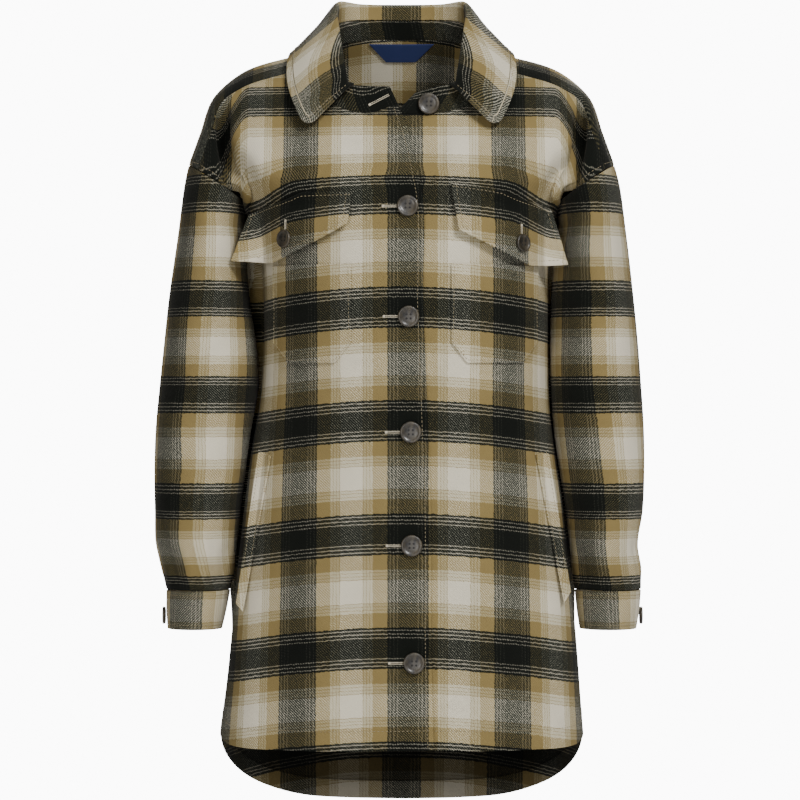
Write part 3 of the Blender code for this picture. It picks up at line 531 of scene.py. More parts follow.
def back_grid(fine):
    """The back's middle surface: rows from the hem up, columns from the right side to the left."""
    halves = []
    for side in (RIGHT, LEFT):
        steps, upper = upper_back_net(side)
        upper = np.concatenate((upper, yoke_net(side)[2:3]))
        up = [RING_STEPS - step for step in (*steps, YOKE_BLADE_STEP)]
        halves.append(half_panel(BACK, side, up, upper, fine))
    return whole(halves)


def yoke_grid(fine):
    """The yoke's middle surface: rows from its front edge and the neckline back to its seam."""
    at_rows = np.arange(fine * FRONT_STEP, fine * BACK_STEP + 1) / fine
    across = spread(SHARES, fine * np.array(COLUMNS))
    halves = []
    for side in (RIGHT, LEFT):
        net = yoke_net(side)
        front_steps, front = upper_front_net(side)
        back_steps, back = upper_back_net(side)
        before = carried_on(net[1::-1], front[-2])
        rows = (front_steps[-2], *YOKE_STEPS, back_steps[0])
        grid = surface(np.concatenate(([before], net, back[:1])), rows, SHARES, at_rows, across)
        outside = fine * NECK_COLUMNS
        grid[0, outside:] = through(front[-1], SHARES, across)[outside:]
        for k, step in enumerate(at_rows):
            grid[k, -1] = ring(step, side)
        halves.append(grid)
    return whole(halves)


def oval(side, angle, out, inner, front, back):
    """A ring round an arm, from its innermost point round the front: x, y and the share of the
    way out."""
    swing = (1 - np.cos(angle)) / 2
    x = side * (inner + (out - inner) * swing)
    y = (front + back) / 2 - (back - front) / 2 * np.sin(angle)
    return x, y, swing


def sleeve_rings(side, fine):
    """The sleeve's rings by height: the armhole first, moved off the body."""
    steps = np.arange(fine * RING_STEPS + 1) / fine
    angle = 2 * math.pi * steps / RING_STEPS
    down = np.array((side * RING_REACH[1], 0, -RING_REACH[0])) / math.hypot(*RING_REACH)
    armhole = np.array([ring(step, side) for step in steps]) + down * RING_SEAM
    armhole[:, 0] += side * RING_UNDERARM_GAP * np.maximum(0, np.cos(angle)) ** 3
    rings = [armhole]
    for *reaches, out_z, inner_z, front, back in SLEEVES:
        out, inner = reaches[:2] if side == RIGHT else reaches[2:]
        x, y, swing = oval(side, angle, out, inner, front, back)
        rings.append(np.stack((x, y, inner_z + (out_z - inner_z) * swing), 1))
    return np.array(rings)


def off_middle(rings):
    """Level directions out from the middle of each ring."""
    return unit((rings - rings.mean(1, keepdims=True)) * (1, 1, 0))


def round_gap(place, fine):
    """How far each point of a ring lies from a place round it, in steps."""
    steps = np.arange(fine * RING_STEPS + 1) / fine
    return (steps - place + RING_STEPS / 2) % RING_STEPS - RING_STEPS / 2


def sleeve_grid(side, fine):
    """The sleeve's middle surface: rings from the armhole down to the cuff, each of them counted
    from the underarm round the front."""
    rings = sleeve_rings(side, fine)
    heights = -rings[..., 2].mean(1)
    gathered = heights[-GATHERED_RINGS]
    upper = np.linspace(heights[0], gathered, SLEEVE_ROWS * fine, endpoint=False)
    lower = np.linspace(gathered, heights[-1], GATHERED_ROWS * fine + 1)
    grid = smooth(heights, rings, np.concatenate((upper, lower)))
    off, z = off_middle(grid), grid[..., 2]
    moved = grid.copy()
    for place, top, bottom, reach, depth in SLEEVE_FOLDS:
        grown = swell((z - top) / (bottom - top), SLEEVE_FOLD_FADES)
        moved += pressed(off, round_gap(place, fine), reach, depth, grown)
    for place, top, reach, depth in GATHERS:
        grown = ease((top - z) / GATHER_GROWS) * ease((z - GATHER_FOOT) / GATHER_FADES)
        moved += pressed(off, round_gap(place, fine), reach, depth, grown)
    return moved


def cuff_grid(side, fine):
    """The cuff's middle surface: rings from the top down, counted like the sleeve's."""
    angle = 2 * math.pi * np.arange(fine * RING_STEPS + 1) / (fine * RING_STEPS)
    rings = []
    for (z, front, back), (out, inner) in zip(CUFF_RINGS, CUFFS[side]):
        x, y, _ = oval(side, angle, out, inner, front, back)
        rings.append(np.stack((x, y, np.full(len(x), z)), 1))
    heights = [-row[0] for row in CUFF_RINGS]
    return smooth(heights, np.array(rings), np.linspace(heights[0], heights[-1], 3 * fine + 1))


def lapped(grid):
    """Points of the left front moved in where the right front lies over them."""
    level = np.clip(grid[..., 2], FRONT_EDGES[-1][0], FRONT_EDGES[0][0])
    over = table(FRONT_EDGES, 1, level.ravel()).reshape(level.shape)
    moved = grid.copy()
    moved[..., 1] += LAP * ease((over + LAP_FADE - grid[..., 0]) / (LAP_FADE - LAP_MARGIN))
    return moved


def neckline(side):
    """The neckline's stations from the middle of the back round to the front edge."""
    behind, before = yoke_net(side)[0], upper_front_net(side)[1][-1]
    if side == LEFT:
        before = lapped(before)
    return np.concatenate((behind[: NECK_STATION + 1], before[NECK_STATION - 1 :: -1]))


def stand_grid(columns, rows):
    """The collar stand: rows from the neckline up, columns from the right end to the left."""
    sides = []
    for side in (RIGHT, LEFT):
        end = STAND_ENDS[side]
        top = np.array([(side * x, y, z) for x, y, z in STAND_TOP] + [end], float)
        if side == LEFT:
            top[NECK_STATION + 1 :] = lapped(top[NECK_STATION + 1 :])
        sides.append(np.stack((neckline(side), top)))
    net = whole(sides)
    places = np.arange(net.shape[1])
    at = np.linspace(0, places[-1], columns + 1)
    return surface(net, (0, 1), places, np.linspace(0, 1, rows + 1), at)


def collar_grid(columns, counts):
    """The collar: rows from its seam over the roll to the outer edge, columns as the stand's."""
    right = [[(-x, y, z) for x, y, z in row] for row in COLLAR[::-1]]
    net = np.array(right + list(COLLAR[1:]), float)
    places, parts = np.arange(len(net)), np.arange(4)
    at = np.linspace(0, places[-1], columns + 1)
    return surface(net.transpose(1, 0, 2), parts, places, spread(parts, counts), at)


# How much finer the shells are than the solids
FINE = 5
SLEEVE_FINE = 4
CUFF_FINE = 6
COLLAR_COLUMNS, COLLAR_COUNTS = 180, (10, 10, 20)
STAND_SHELL_COLUMNS, STAND_ROWS = 150, 10
POCKET_SHELL, FLAP_SHELL, WELT_SHELL = (45, 54), (66, 40), (12, 100)

# The check, across and down alike: distance from the middle of the dark stripe at which each
# stripe starts, and its yarn
REPEAT = 116.0
STRIPES = (
    # from, yarn, share of light yarn laid over it as a pinstripe
    (0.0, "dark", 0), (10.0, "dark", 1), (11.1, "dark", 0), (13.8, "dark", 1), (14.9, "dark", 0),
    (17.6, "dark", 1), (18.7, "dark", 0), (21.0, "tan", 0), (36.0, "beige", 0), (38.4, "fine", 0),
    (39.3, "beige", 0), (41.9, "fine", 0), (42.8, "beige", 0), (45.2, "fine", 0),
    (46.1, "cream", 0),
)
YARNS = {
    "dark": (0.0055, 0.0064, 0.0050),
    "tan": (0.212, 0.155, 0.060),
    "beige": (0.43, 0.38, 0.245),
    "cream": (0.63, 0.575, 0.445),
    "fine": (0.25, 0.195, 0.10),
}
PINSTRIPE = (0.50, 0.46, 0.36)
WARP_PINS, WEFT_PINS = 0.10, 0.36
WHOLE_TURNS = 100

# The twill. The warp takes WARP_SHARE of the surface, less over a dark weft, and the ribs and the
# fuzz swing that share to both sides. Scales are turns of the noise in a metre.
TWILL_PITCH = 2.8
WARP_SHARE, OVER_DARK_WEFT, SHARE_SWING = 0.48, -0.21, 0.36
UNEVEN_SCALE, UNEVEN_SHIFT, UNEVEN_RIBS = 240.0, 2.6, 4.0
FUZZ_SCALE, FUZZ_DETAIL, FUZZ_ROUGHNESS, FUZZ_SWING = 900.0, 3.0, 0.6, 5.0
RIB_SWING = 0.8
PATCH_SCALE, PATCH_DETAIL, PATCH_SHADE = 34.0, 3.0, 0.20
FUZZ_HEIGHT, RIB_HEIGHT = 0.8, 0.3
BUMP_STRENGTH, BUMP_DEPTH = 0.55, 0.5
SHEEN_COLOUR = (0.9, 0.86, 0.76, 1.0)
CLOTH_ROUGHNESS, CLOTH_SPECULAR, SHEEN_ROUGHNESS = 0.95, 0.06, 0.5

# Horn: its dark and light, where the streaks pass from one to the other, how far they are drawn
# out and how fine they are
HORN_DARK, HORN_LIGHT = (0.006, 0.0045, 0.003), (0.066, 0.052, 0.031)
HORN_FROM, HORN_TO = 0.36, 0.66
HORN_STRETCH, HORN_SCALE, HORN_DETAIL, HORN_ROUGHNESS = (1.0, 0.35, 1.0), 190.0, 4.0, 0.6
HORN_COAT, HORN_COAT_ROUGHNESS = 0.2, 0.12
# The buttons' holes are dark discs painted with the shade that falls into a hole
HOLE_SHADE_COLOUR, HOLE_ROUGHNESS = (0.008, 0.006, 0.005), 0.8
LABEL_NAVY, LABEL_ROUGHNESS = (0.012, 0.023, 0.095), 0.75

# Thread of the seams and of the buttonholes
THREAD, THREAD_ROUGHNESS = (0.27, 0.22, 0.13), 0.8
THREAD_ENDS = (0.22, 0.78)
STITCH, STITCH_GAP, STITCH_THICK = 2.9, 1.3, 0.6
STITCH_LIFT = 0.1
HOLE_THREAD_COLOUR, HOLE_THREAD_ROUGHNESS = (0.56, 0.50, 0.38), 0.7
HOLE_PITCH, HOLE_THREAD = 0.75, 0.75
HOLE_SLOT, HOLE_BARS, HOLE_BAR_WIDTH, HOLE_BAR_THICK = 0.25, (-0.5, 0.3, 1.1), 0.62, 1.2


def unit(vectors):
    return vectors / np.maximum(np.linalg.norm(vectors, axis=-1, keepdims=True), 1e-9)


def outward(grid, side=1):
    """Unit normals of a grid of points, on the side given."""
    down, across = np.gradient(grid, axis=0), np.gradient(grid, axis=1)
    return side * unit(np.cross(across, down))


def running(points, axis):
    """The length along a grid's rows or columns at each point, from the first."""
    steps = np.linalg.norm(np.diff(points, axis=axis), axis=2)
    start = np.zeros_like(np.take(steps, [0], axis=axis))
    return np.cumsum(np.concatenate((start, steps), axis=axis), axis=axis)


# Soft creases that only the looks have. On the sleeves: step and height at either end, reach in
# steps and depth. On the panels: x and z at either end, reach across and depth.
SLEEVE_CREASES = {
    RIGHT: (
        (6.0, -215, 3.0, -300, 0.7, -2.2), (7.6, -300, 5.4, -400, 0.8, -2.0),
        (4.2, -380, 7.2, -455, 0.8, -2.2), (7.9, -470, 7.0, -560, 0.35, -2.6),
        (5.2, -500, 4.7, -559, 0.4, -2.2), (3.6, -490, 3.4, -559, 0.4, -2.0),
        (9.0, -505, 8.8, -559, 0.4, -1.8), (12.0, -230, 15.0, -320, 0.8, -2.2),
        (15.5, -330, 12.5, -430, 0.8, -2.0), (13.0, -480, 13.5, -559, 0.45, -2.4),
        (16.5, -490, 16.0, -559, 0.45, -2.2),
    ),
    LEFT: (
        (3.6, -220, 6.6, -310, 0.7, -2.2), (6.8, -330, 4.0, -420, 0.8, -2.0),
        (4.2, -430, 6.4, -500, 0.7, -2.4), (8.0, -500, 8.8, -559, 0.4, -3.0),
        (5.6, -505, 5.8, -559, 0.4, -2.2), (3.2, -490, 3.6, -559, 0.4, -2.0),
        (14.5, -220, 12.0, -310, 0.8, -2.2), (12.0, -350, 15.5, -440, 0.8, -2.0),
        (13.2, -480, 13.0, -559, 0.45, -2.4), (16.4, -490, 16.6, -559, 0.45, -2.2),
    ),
}
PANEL_CREASES = {
    FRONT: (
        (-176, -40, -155, -186, 6.0, 9.0), (-189, -48, -167, -176, 7.5, -17.0),
        (176, -40, 155, -186, 6.0, 9.0), (189, -48, 167, -176, 7.5, -17.0),
        (-140, -238, -60, -262, 9, -1.8), (140, -240, 66, -268, 9, -1.8),
        (44, -62, 40, -128, 5, -1.6), (-60, -100, -112, -150, 10, -1.5),
        (62, -100, 116, -150, 10, -1.5), (-30, -600, -38, -716, 10, -1.5),
        (60, -560, 66, -716, 12, -1.6), (-120, -330, -96, -420, 12, -1.6),
        (118, -330, 96, -430, 12, -1.6),
    ),
    BACK: (
        (-30, -130, -34, -300, 9, -2.0), (28, -130, 34, -320, 9, -2.0),
        (-130, -190, -60, -250, 10, -2.0), (132, -190, 64, -244, 10, -2.0),
        (-80, -560, -90, -760, 12, -2.0), (84, -540, 92, -760, 12, -2.0),
    ),
}
CREASE_FADES = 0.35

# The back's cloth stands wider just behind the arms: height and reach out
BEHIND_ARMS = (
    (-625, 0), (-590, 4), (-555, 9), (-515, 13), (-465, 14), (-400, 14), (-340, 17), (-290, 20),
    (-240, 23), (-200, 21), (-165, 13), (-150, 0),
)
BEHIND_DEPTH, BEHIND_END = 40.0, 2.6
BEHIND_GAIN = {RIGHT: 1.7, LEFT: 1.2}

# Shell edges
EDGE_ROUND = 0.36
EDGE_ANGLE = math.radians(50)

# Flat sizes of the cut of what shows, width and length in mm
POCKET_CUT = (128, 102)
FLAP_CUT = (152, 75)
WELT_CUT = (19, 166)
HEM_TURN_CUT, HEM_TURN_ROWS, HEM_TURN_WALL = (592, 30), 3, 1.0
LABEL_SHELL = (36, 12)

# Buttons as turned in the looks: outline as shares of radius and thickness, from the back's
# middle round to the face's middle
BUTTON_TURNS = 48
BUTTON_PROFILE = (
    (0.80, 0.0), (0.93, 0.08), (0.995, 0.40), (1.0, 0.60), (0.975, 0.84), (0.93, 0.96), (0.88, 1.0),
    (0.82, 0.985), (0.76, 0.90), (0.68, 0.78), (0.56, 0.70), (0.40, 0.66), (0.20, 0.64),
)
HOLE, HOLE_OUT, HOLE_SUNK, HOLE_DEPTH, HOLE_SIDES = 1.15, 2.1, 0.19, 0.5, 14

# Stage, in metres: the camera stands level with the middle of the photo
CAMERA_PLACE = (-0.0016, -4.0, -0.361)
CAMERA_LENS, CAMERA_SENSOR = 170.6, 36.0
WHITE = (1.0, 1.0, 1.0, 1.0)
FLOOR_Z, FLOOR_RADIUS, FLOOR_SIDES = -1.42, 5.0, 96
FLOOR_COLOUR, FLOOR_ROUGHNESS = (0.90, 0.90, 0.90, 1.0), 0.85
FLOOR_GLOW, ROOM_SEEN = 0.9, 11.0
LIGHTS = (
    # name, place, aim, size, power
    ("key", (1.5, -2.9, 1.9), (0.0, 0.0, -0.30), (1.2, 0.9), 128.0),
    ("fill", (-1.2, -3.5, 0.2), (0.0, 0.0, -0.4), (1.2, 1.4), 28.0),
    ("low_front", (-0.4, -3.8, -0.4), (0.0, 0.0, -0.4), (1.4, 1.0), 16.0),
    ("top", (0.0, -0.9, 2.2), (0.0, 0.0, -0.2), (1.4, 0.8), 14.0),
    ("behind", (0.6, 3.6, 1.6), (0.0, 0.0, -0.3), (2.0, 1.4), 150.0),
)

# Where the check lies on each piece, in mm across and down from the middle of a dark stripe
FRONT_SHIFT = {RIGHT: 6.6, LEFT: 1.0}
BAND_LEVEL = -150.0
BAND_DROOP, BAND_DROOP_X = 14.0, 150.0
ARM_DROOP, ARM_DROOP_FROM, ARM_DROOP_OVER = 12.0, 105.0, 45.0
ARM_DROOP_FOOT, ARM_DROOP_GROWS = -240.0, 70.0
DROOP_TURN, DROOP_TURN_FOOT, DROOP_TURN_GROWS = 1.0, -165.0, 85.0
SEAM_DROOP, SEAM_DROOP_FROM, SEAM_DROOP_OVER = 56.0, 158.0, 36.0
SEAM_DROOP_FOOT, SEAM_DROOP_GROWS = -190.0, 45.0
UPPER_WIDENS, UPPER_CLIMB = 0.05, 1.06
UPPER_BLEND_ROWS = 2.5
UPPER_SPINE = 6
YOKE_SHIFT = 37.0
YOKE_LEVEL, YOKE_BAND = 176.0, 8.0
YOKE_OUT_FROM, YOKE_OUT_OVER, YOKE_FRONT_FROM, YOKE_FRONT_OVER = 80.0, 40.0, 90.0, 70.0
SLEEVE_BANDS = (
    # height of the middle of a dark band, place in the check
    (-700, 580), (-560, 464), (-468, 348), (-354, 232), (-257, 116), (-147, 0), (-40, -116),
)
SLEEVE_COLUMN_STEP = {RIGHT: 7.4, LEFT: 3.3}
CUFF_COLUMN_STEP = {RIGHT: 6.3, LEFT: 3.9}
CUFF_LEVEL, CUFF_HALF = 58.0, 20
STAND_LEVEL = 9.0
STAND_COLUMN, STAND_TURN, STAND_TURN_OVER = 20.0, 0.25, 0.08
COLLAR_BACK, COLLAR_LEAF = 21.0, -10.0
COLLAR_TURN, COLLAR_SHIFT = (0.22, 0.36), (0.14, 0.26)
COLLAR_END = 18.0
COLLAR_CORNER = 15.0


@functools.lru_cache(maxsize=None)
def level_line(side, face, z):
    line = section(z, side, face)
    return side * line[:, 0], chords(line)


def arc_at(side, face, x, z):
    """The length along the body's level line from the middle to x."""
    if side * x <= 0:
        return x
    return side * np.interp(side * x, *level_line(side, face, round(min(z, UNDERARM_Z))))


def band_droop(x, z):
    """How far the bands droop: to the sides, and more below the arms. At the shoulders they are
    level."""
    near_arm = ease((abs(x) - ARM_DROOP_FROM) / ARM_DROOP_OVER)
    arm = ARM_DROOP * near_arm * ease((z - ARM_DROOP_FOOT) / ARM_DROOP_GROWS)
    turned = 1 - DROOP_TURN * ease((z - DROOP_TURN_FOOT) / DROOP_TURN_GROWS)
    return (BAND_DROOP * (x / BAND_DROOP_X) ** 2 + arm) * turned


def front_cloth(side, x, z):
    """Cloth place of a point of the fronts that is seen at x and z in the front view."""
    down = z + band_droop(x, z) - BAND_LEVEL
    return np.array((arc_at(side, FRONT, x, z) - FRONT_SHIFT[side], down))


def panel_cloth(grid, side, face, underarm, shift):
    """Cloth places for a half panel whose row at the underarm is given by number."""
    uv = np.empty(grid.shape[:2] + (2,))
    for k, row in enumerate(grid[: underarm + 1]):
        for i, (x, _, z) in enumerate(row):
            uv[k, i] = arc_at(side, face, x, z) - shift, z + band_droop(x, z) - BAND_LEVEL
    above = grid[underarm:]
    spine = above[:, UPPER_SPINE * FINE]
    climb = np.interp(above[..., 2], spine[:, 2], chords(spine)) * UPPER_CLIMB
    rows = np.arange(len(above))[:, None]
    blend = ease(rows / (UPPER_BLEND_ROWS * FINE))
    straight = above[..., 0] * (1 + UPPER_WIDENS * (above[..., 0] / 100) ** 2) - shift
    uv[underarm:, :, 0] = uv[underarm, :, 0] * (1 - blend) + straight * blend
    start = spine[0, 2] - BAND_LEVEL
    level = np.where(above[..., 2] < spine[0, 2], above[..., 2] - spine[0, 2], climb)
    uv[underarm:, :, 1] = level + start + band_droop(above[..., 0], above[..., 2])
    if face == FRONT:
        near_seam = ease((np.abs(grid[..., 0]) - SEAM_DROOP_FROM) / SEAM_DROOP_OVER)
        risen = ease((grid[..., 2] - SEAM_DROOP_FOOT) / SEAM_DROOP_GROWS)
        uv[..., 1] += SEAM_DROOP * near_seam * risen
    return uv


def yoke_cloth(grid):
    back_up = running(grid[::-1], 0)[::-1]
    across = grid[..., 0] * (1 + UPPER_WIDENS * (grid[..., 0] / 100) ** 2)
    out = ease((np.abs(grid[..., 0]) - YOKE_OUT_FROM) / YOKE_OUT_OVER)
    out = out * ease((back_up - YOKE_FRONT_FROM) / YOKE_FRONT_OVER)
    level = (back_up - YOKE_LEVEL) * (1 - out) + (YOKE_BAND - running(grid, 0)) * out
    return np.stack((across - YOKE_SHIFT, level), -1)


def tube_cloth(grid, column_step, fine, bands):
    """Cloth places round a sleeve or cuff, with a dark stripe at the given step."""
    length = running(grid, 1)
    middle = length[:, [round(column_step * fine)]]
    down = np.interp(grid[..., 2], *zip(*bands))
    return np.stack((length - middle, down), -1)


def from_ends(from_middle, half, place):
    """Places across a strip with a dark stripe at the given place in from either end, as near as
    can be to those counted from the middle."""
    start = half - place
    return np.sign(from_middle) * (np.abs(from_middle) - start + REPEAT * np.round(start / REPEAT))


def collar_cloth(grid):
    length, down = running(grid, 1), running(grid, 0)
    half = length[:, [grid.shape[1] // 2]]
    share = np.abs(np.linspace(-0.5, 0.5, grid.shape[1]))
    turned, shifted = (
        ease((share - first) / (last - first)) for first, last in (COLLAR_TURN, COLLAR_SHIFT)
    )
    start = COLLAR_BACK + (COLLAR_LEAF - COLLAR_BACK) * turned
    from_middle = length - half
    whole = np.where(from_middle < 0, half, length[:, -1:] - half)
    from_end = from_ends(from_middle, whole, COLLAR_END)
    across = from_middle * (1 - shifted) + from_end * shifted
    return np.stack((across, down + start), -1)


def stand_cloth(grid):
    length, up = running(grid, 1), running(grid, 0)
    from_middle = length - length[:, -1:] / 2
    from_end = from_ends(from_middle, length[:, -1:] / 2, STAND_COLUMN)
    end = ease((np.abs(np.linspace(-0.5, 0.5, grid.shape[1])) - STAND_TURN) / STAND_TURN_OVER)
    return np.stack((from_middle * (1 - end) + from_end * end, up - STAND_LEVEL), -1)


def sheet_mesh(name, grid, uv, closed=False):
    """A mesh of quads on the points, with the cloth's places as its UV map in metres."""
    rows, columns = grid.shape[:2]
    wide = columns - 1 if closed else columns
    points = grid[:, :wide].reshape(-1, 3) * MM
    cells = [(j, i) for j in range(rows - 1) for i in range(columns - 1)]
    corners = [[(j, i), (j, i + 1), (j + 1, i + 1), (j + 1, i)] for j, i in cells]
    faces = [[j * wide + i % wide for j, i in four] for four in corners]
    mesh = bpy.data.meshes.new(name)
    mesh.from_pydata(points.tolist(), [], faces)
    layer = mesh.uv_layers.new(name="cloth")
    places = np.array([uv[j, i] for four in corners for j, i in four]) * MM
    layer.data.foreach_set("uv", places.ravel())
    mesh.shade_smooth()
    return mesh


def linked(name, data):
    """A new object in the scene."""
    made = bpy.data.objects.new(name, data)
    bpy.context.scene.collection.objects.link(made)
    return made


def add_object(name, mesh, look, nodes):
    made = linked(name, mesh)
    mesh.materials.append(look)
    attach(made, "root")
    if nodes:
        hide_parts(*nodes)
    return made


def shell(piece, grid, uv, look, wall=WALL, closed=False, other=None, trim=False):
    """A cloth piece: its sheet with a wall of equal halves and soft edges, in place of the solid
    of its name if it isn't trim. other is the look of the reverse, where it has its own."""
    name = f"{piece}_cloth"
    nodes = () if trim else (piece,)
    made = add_object(name, sheet_mesh(name, grid, uv, closed), look, nodes)
    solid = made.modifiers.new("wall", "SOLIDIFY")
    solid.thickness = wall * MM
    solid.offset = 0.0
    solid.use_even_offset = False
    if other:
        made.data.materials.append(other)
        solid.material_offset = 1
    edge = made.modifiers.new("soft_edge", "BEVEL")
    edge.width = EDGE_ROUND * wall * MM
    edge.segments = 2
    edge.limit_method = "ANGLE"
    edge.angle_limit = EDGE_ANGLE
    edge.harden_normals = False
    return made


def tree_of(grid):
    rows, columns = grid.shape[:2]
    points = [Vector(p) for p in grid.reshape(-1, 3)]
    faces = [
        (j * columns + i, j * columns + i + 1, (j + 1) * columns + i + 1, (j + 1) * columns + i)
        for j in range(rows - 1)
        for i in range(columns - 1)
    ]
    return BVHTree.FromPolygons(points, faces)


def on_front(trees, x, z, lift):
    """The point of the fronts seen at x and z in the front view, moved out by lift, and the
    direction out. Past the body's side it hangs level with the cloth beside it."""
    held = x
    if z < UNDERARM_Z:
        reach = HANGING_SHARE * table(BODY, 1 if x < 0 else 2, z)
        held = max(-reach, min(reach, x))
    for tree in trees:
        place, normal, _, _ = tree.ray_cast(Vector((held, -FAR, z)), Vector((0, 1, 0)))
        if place:
            normal = -normal if normal.y > 0 else normal
            past = Vector((x - held, 0, 0))
            return np.array(place + normal * lift + past), np.array(normal)
    raise ValueError(f"no front at {x}, {z}")


def laid(side, trees, corners, cells, lift):
    """A patch on the fronts and its cloth places: corners gives x and z for shares across and
    down, and lift the height off the cloth."""
    columns, rows = cells
    grid = np.empty((rows + 1, columns + 1, 3))
    uv = np.empty((rows + 1, columns + 1, 2))
    for j in range(rows + 1):
        for i in range(columns + 1):
            x, z = corners(i / columns, j / rows)
            grid[j, i] = on_front(trees, x, z, lift(i / columns, j / rows))[0]
            uv[j, i] = front_cloth(side, x, z)
    uv[..., 0] = uv[:, :1, 0] + side * running(grid * (1, 1, 0), 1)
    return grid, uv


@functools.lru_cache(maxsize=None)
def fronts():
    return {side: creased_panel(front_grid(side, FINE), FRONT) for side in (RIGHT, LEFT)}


@functools.lru_cache(maxsize=None)
def smooth_fronts():
    """The fronts without creases, which the patches and buttons lie on."""
    return [tree_of(front_grid(side, FINE)) for side in (RIGHT, LEFT)]


def words(side):
    return "right" if side == RIGHT else "left"


def build_body(look, hollow, hem_painted_shade_look):
    underarm = FINE * (1 + LOWER_ROWS)
    grids = fronts()
    for side, grid in grids.items():
        uv = panel_cloth(grid, side, FRONT, underarm, FRONT_SHIFT[side])
        shell(f"front_{words(side)}", grid, uv, look)
    flat = grid = back_grid(FINE)
    middle = grid.shape[1] // 2
    flare = np.interp(grid[..., 2], *zip(*BEHIND_ARMS))
    deep = grid[..., 1] / BEHIND_DEPTH
    flare = flare * ease(deep) * ease((BEHIND_END - deep) / BEHIND_END)
    gain = np.where(grid[..., 0] < 0, -BEHIND_GAIN[RIGHT], BEHIND_GAIN[LEFT])
    grid = grid + np.stack((flare * gain, flare * 0, flare * 0), -1)
    grid = creased_panel(grid, BACK)
    halves = [
        panel_cloth(flat[:, middle::-1], RIGHT, BACK, underarm, 0.0)[:, ::-1],
        panel_cloth(flat[:, middle:], LEFT, BACK, underarm, 0.0)[:, 1:],
    ]
    uv = np.concatenate(halves, 1)
    # The back's side in the hollow takes the look darkened by painted shade; its reverse has the plain
    # look.
    shell("back", grid, uv, hollow, other=look)
    # The hem turned up inside the back is darkened by painted shade.
    rows = HEM_TURN_ROWS
    turned = grid[:rows] - skin(grid, off_axis(grid))[:rows] * (WALL + HEM_TURN_WALL) / 2
    shell("hem_turn", turned, uv[:rows], hem_painted_shade_look, HEM_TURN_WALL, trim=True)
    grid = yoke_grid(FINE)
    shell("yoke", grid, yoke_cloth(grid), look)


def rounded(grid, radius, corners):
    """The sheet with some corners rounded: (0 or -1 for the row, 0 or -1 for the column)."""
    down, across = running(grid, 0), running(grid, 1)
    moved = grid.copy()
    for row, column in corners:
        from_row = down if row == 0 else down[-1:] - down
        from_column = across if column == 0 else across[:, -1:] - across
        a, b = np.maximum(radius - from_row, 0), np.maximum(radius - from_column, 0)
        shrunk = np.maximum(a, b) / np.maximum(np.hypot(a, b), 1e-9)
        inward = np.gradient(grid, axis=0) * (1 if row == 0 else -1)
        sideways = np.gradient(grid, axis=1) * (1 if column == 0 else -1)
        both = (a > 0) & (b > 0)
        pull = np.where(both, 1 - shrunk, 0.0)
        moved += unit(inward) * (a * pull)[..., None] + unit(sideways) * (b * pull)[..., None]
    return moved


def collar_sheet():
    return rounded(collar_grid(COLLAR_COLUMNS, COLLAR_COUNTS), COLLAR_CORNER, ((-1, 0), (-1, -1)))


def build_collar(look):
    grid = stand_grid(STAND_SHELL_COLUMNS, STAND_ROWS)
    shell("collar_stand", grid, stand_cloth(grid), look)
    grid = collar_sheet()
    shell("collar", grid, collar_cloth(grid), look)


def creased_tube(grid, side, fine):
    """A sleeve with its soft creases, each from one place round it to another."""
    off, moved = off_middle(grid), grid.copy()
    for step0, z0, step1, z1, reach, depth in SLEEVE_CREASES[side]:
        along = (grid[..., 2] - z0) / (z1 - z0)
        place = step0 + (step1 - step0) * np.clip(along, 0, 1)
        moved += pressed(off, round_gap(place, fine), reach, depth, swell(along, CREASE_FADES))
    return moved


def creased_panel(grid, face):
    """A body panel with its soft creases, each a straight stretch in the front view."""
    level, moved = skin(grid, off_axis(grid)), grid.copy()
    for x0, z0, x1, z1, reach, depth in PANEL_CREASES[face]:
        run = np.array((x1 - x0, z1 - z0), float)
        size = np.linalg.norm(run)
        run /= size
        dx, dz = grid[..., 0] - x0, grid[..., 2] - z0
        along = (dx * run[0] + dz * run[1]) / size
        gap = dx * run[1] - dz * run[0]
        moved += pressed(level, gap, reach, depth, swell(along, CREASE_FADES))
    return moved


def build_sleeves(look):
    cuff_bands = [
        (CUFF_RINGS[row][0], CUFF_LEVEL + half) for row, half in ((2, -CUFF_HALF), (0, CUFF_HALF))
    ]
    for side in (RIGHT, LEFT):
        grid = creased_tube(sleeve_grid(side, SLEEVE_FINE), side, SLEEVE_FINE)
        uv = tube_cloth(grid, SLEEVE_COLUMN_STEP[side], SLEEVE_FINE, SLEEVE_BANDS)
        shell(f"sleeve_{words(side)}", grid, uv, look, closed=True)
        grid = cuff_grid(side, CUFF_FINE)
        uv = tube_cloth(grid, CUFF_COLUMN_STEP[side], CUFF_FINE, cuff_bands)
        shell(f"cuff_{words(side)}", grid, uv, look, closed=True)


def between(one, other, share):
    return [a + (b - a) * share for a, b in zip(one, other)]


def pocket_sheet(side, trees):
    inner, outer, top, bottom, cut, rise = POCKETS[side]

    def corners(across, down):
        x = inner + (outer - inner) * across
        edge = min(abs(x - inner), abs(x - outer))
        low = bottom + rise * max(0.0, 1 - edge / cut)
        return x, top + (low - top) * down

    return laid(side, trees, corners, POCKET_SHELL, lambda across, down: WALL + LYING_GAP)


def flap_sheet(side, trees):
    top_in, top_mid, top_out, low_in, low_shoulder, point, low_out = FLAPS[side]
    top = np.array((top_in, top_mid, top_out), float)
    low = np.array((low_in, low_shoulder, point, low_out), float)

    def corners(across, down):
        upper = [np.interp(across, FLAP_TOP_SHARES, top[:, k]) for k in (0, 1)]
        lower = [np.interp(across, FLAP_FOOT_SHARES, low[:, k]) for k in (0, 1)]
        return between(upper, lower, down)

    start = (WALL + DOUBLED_WALL) / 2 + LYING_GAP

    def lift(across, down):
        return start + FLAP_SIDE_LIFT * across + FLAP_STAND_OFF * down**FLAP_CURL

    return laid(side, trees, corners, FLAP_SHELL, lift)


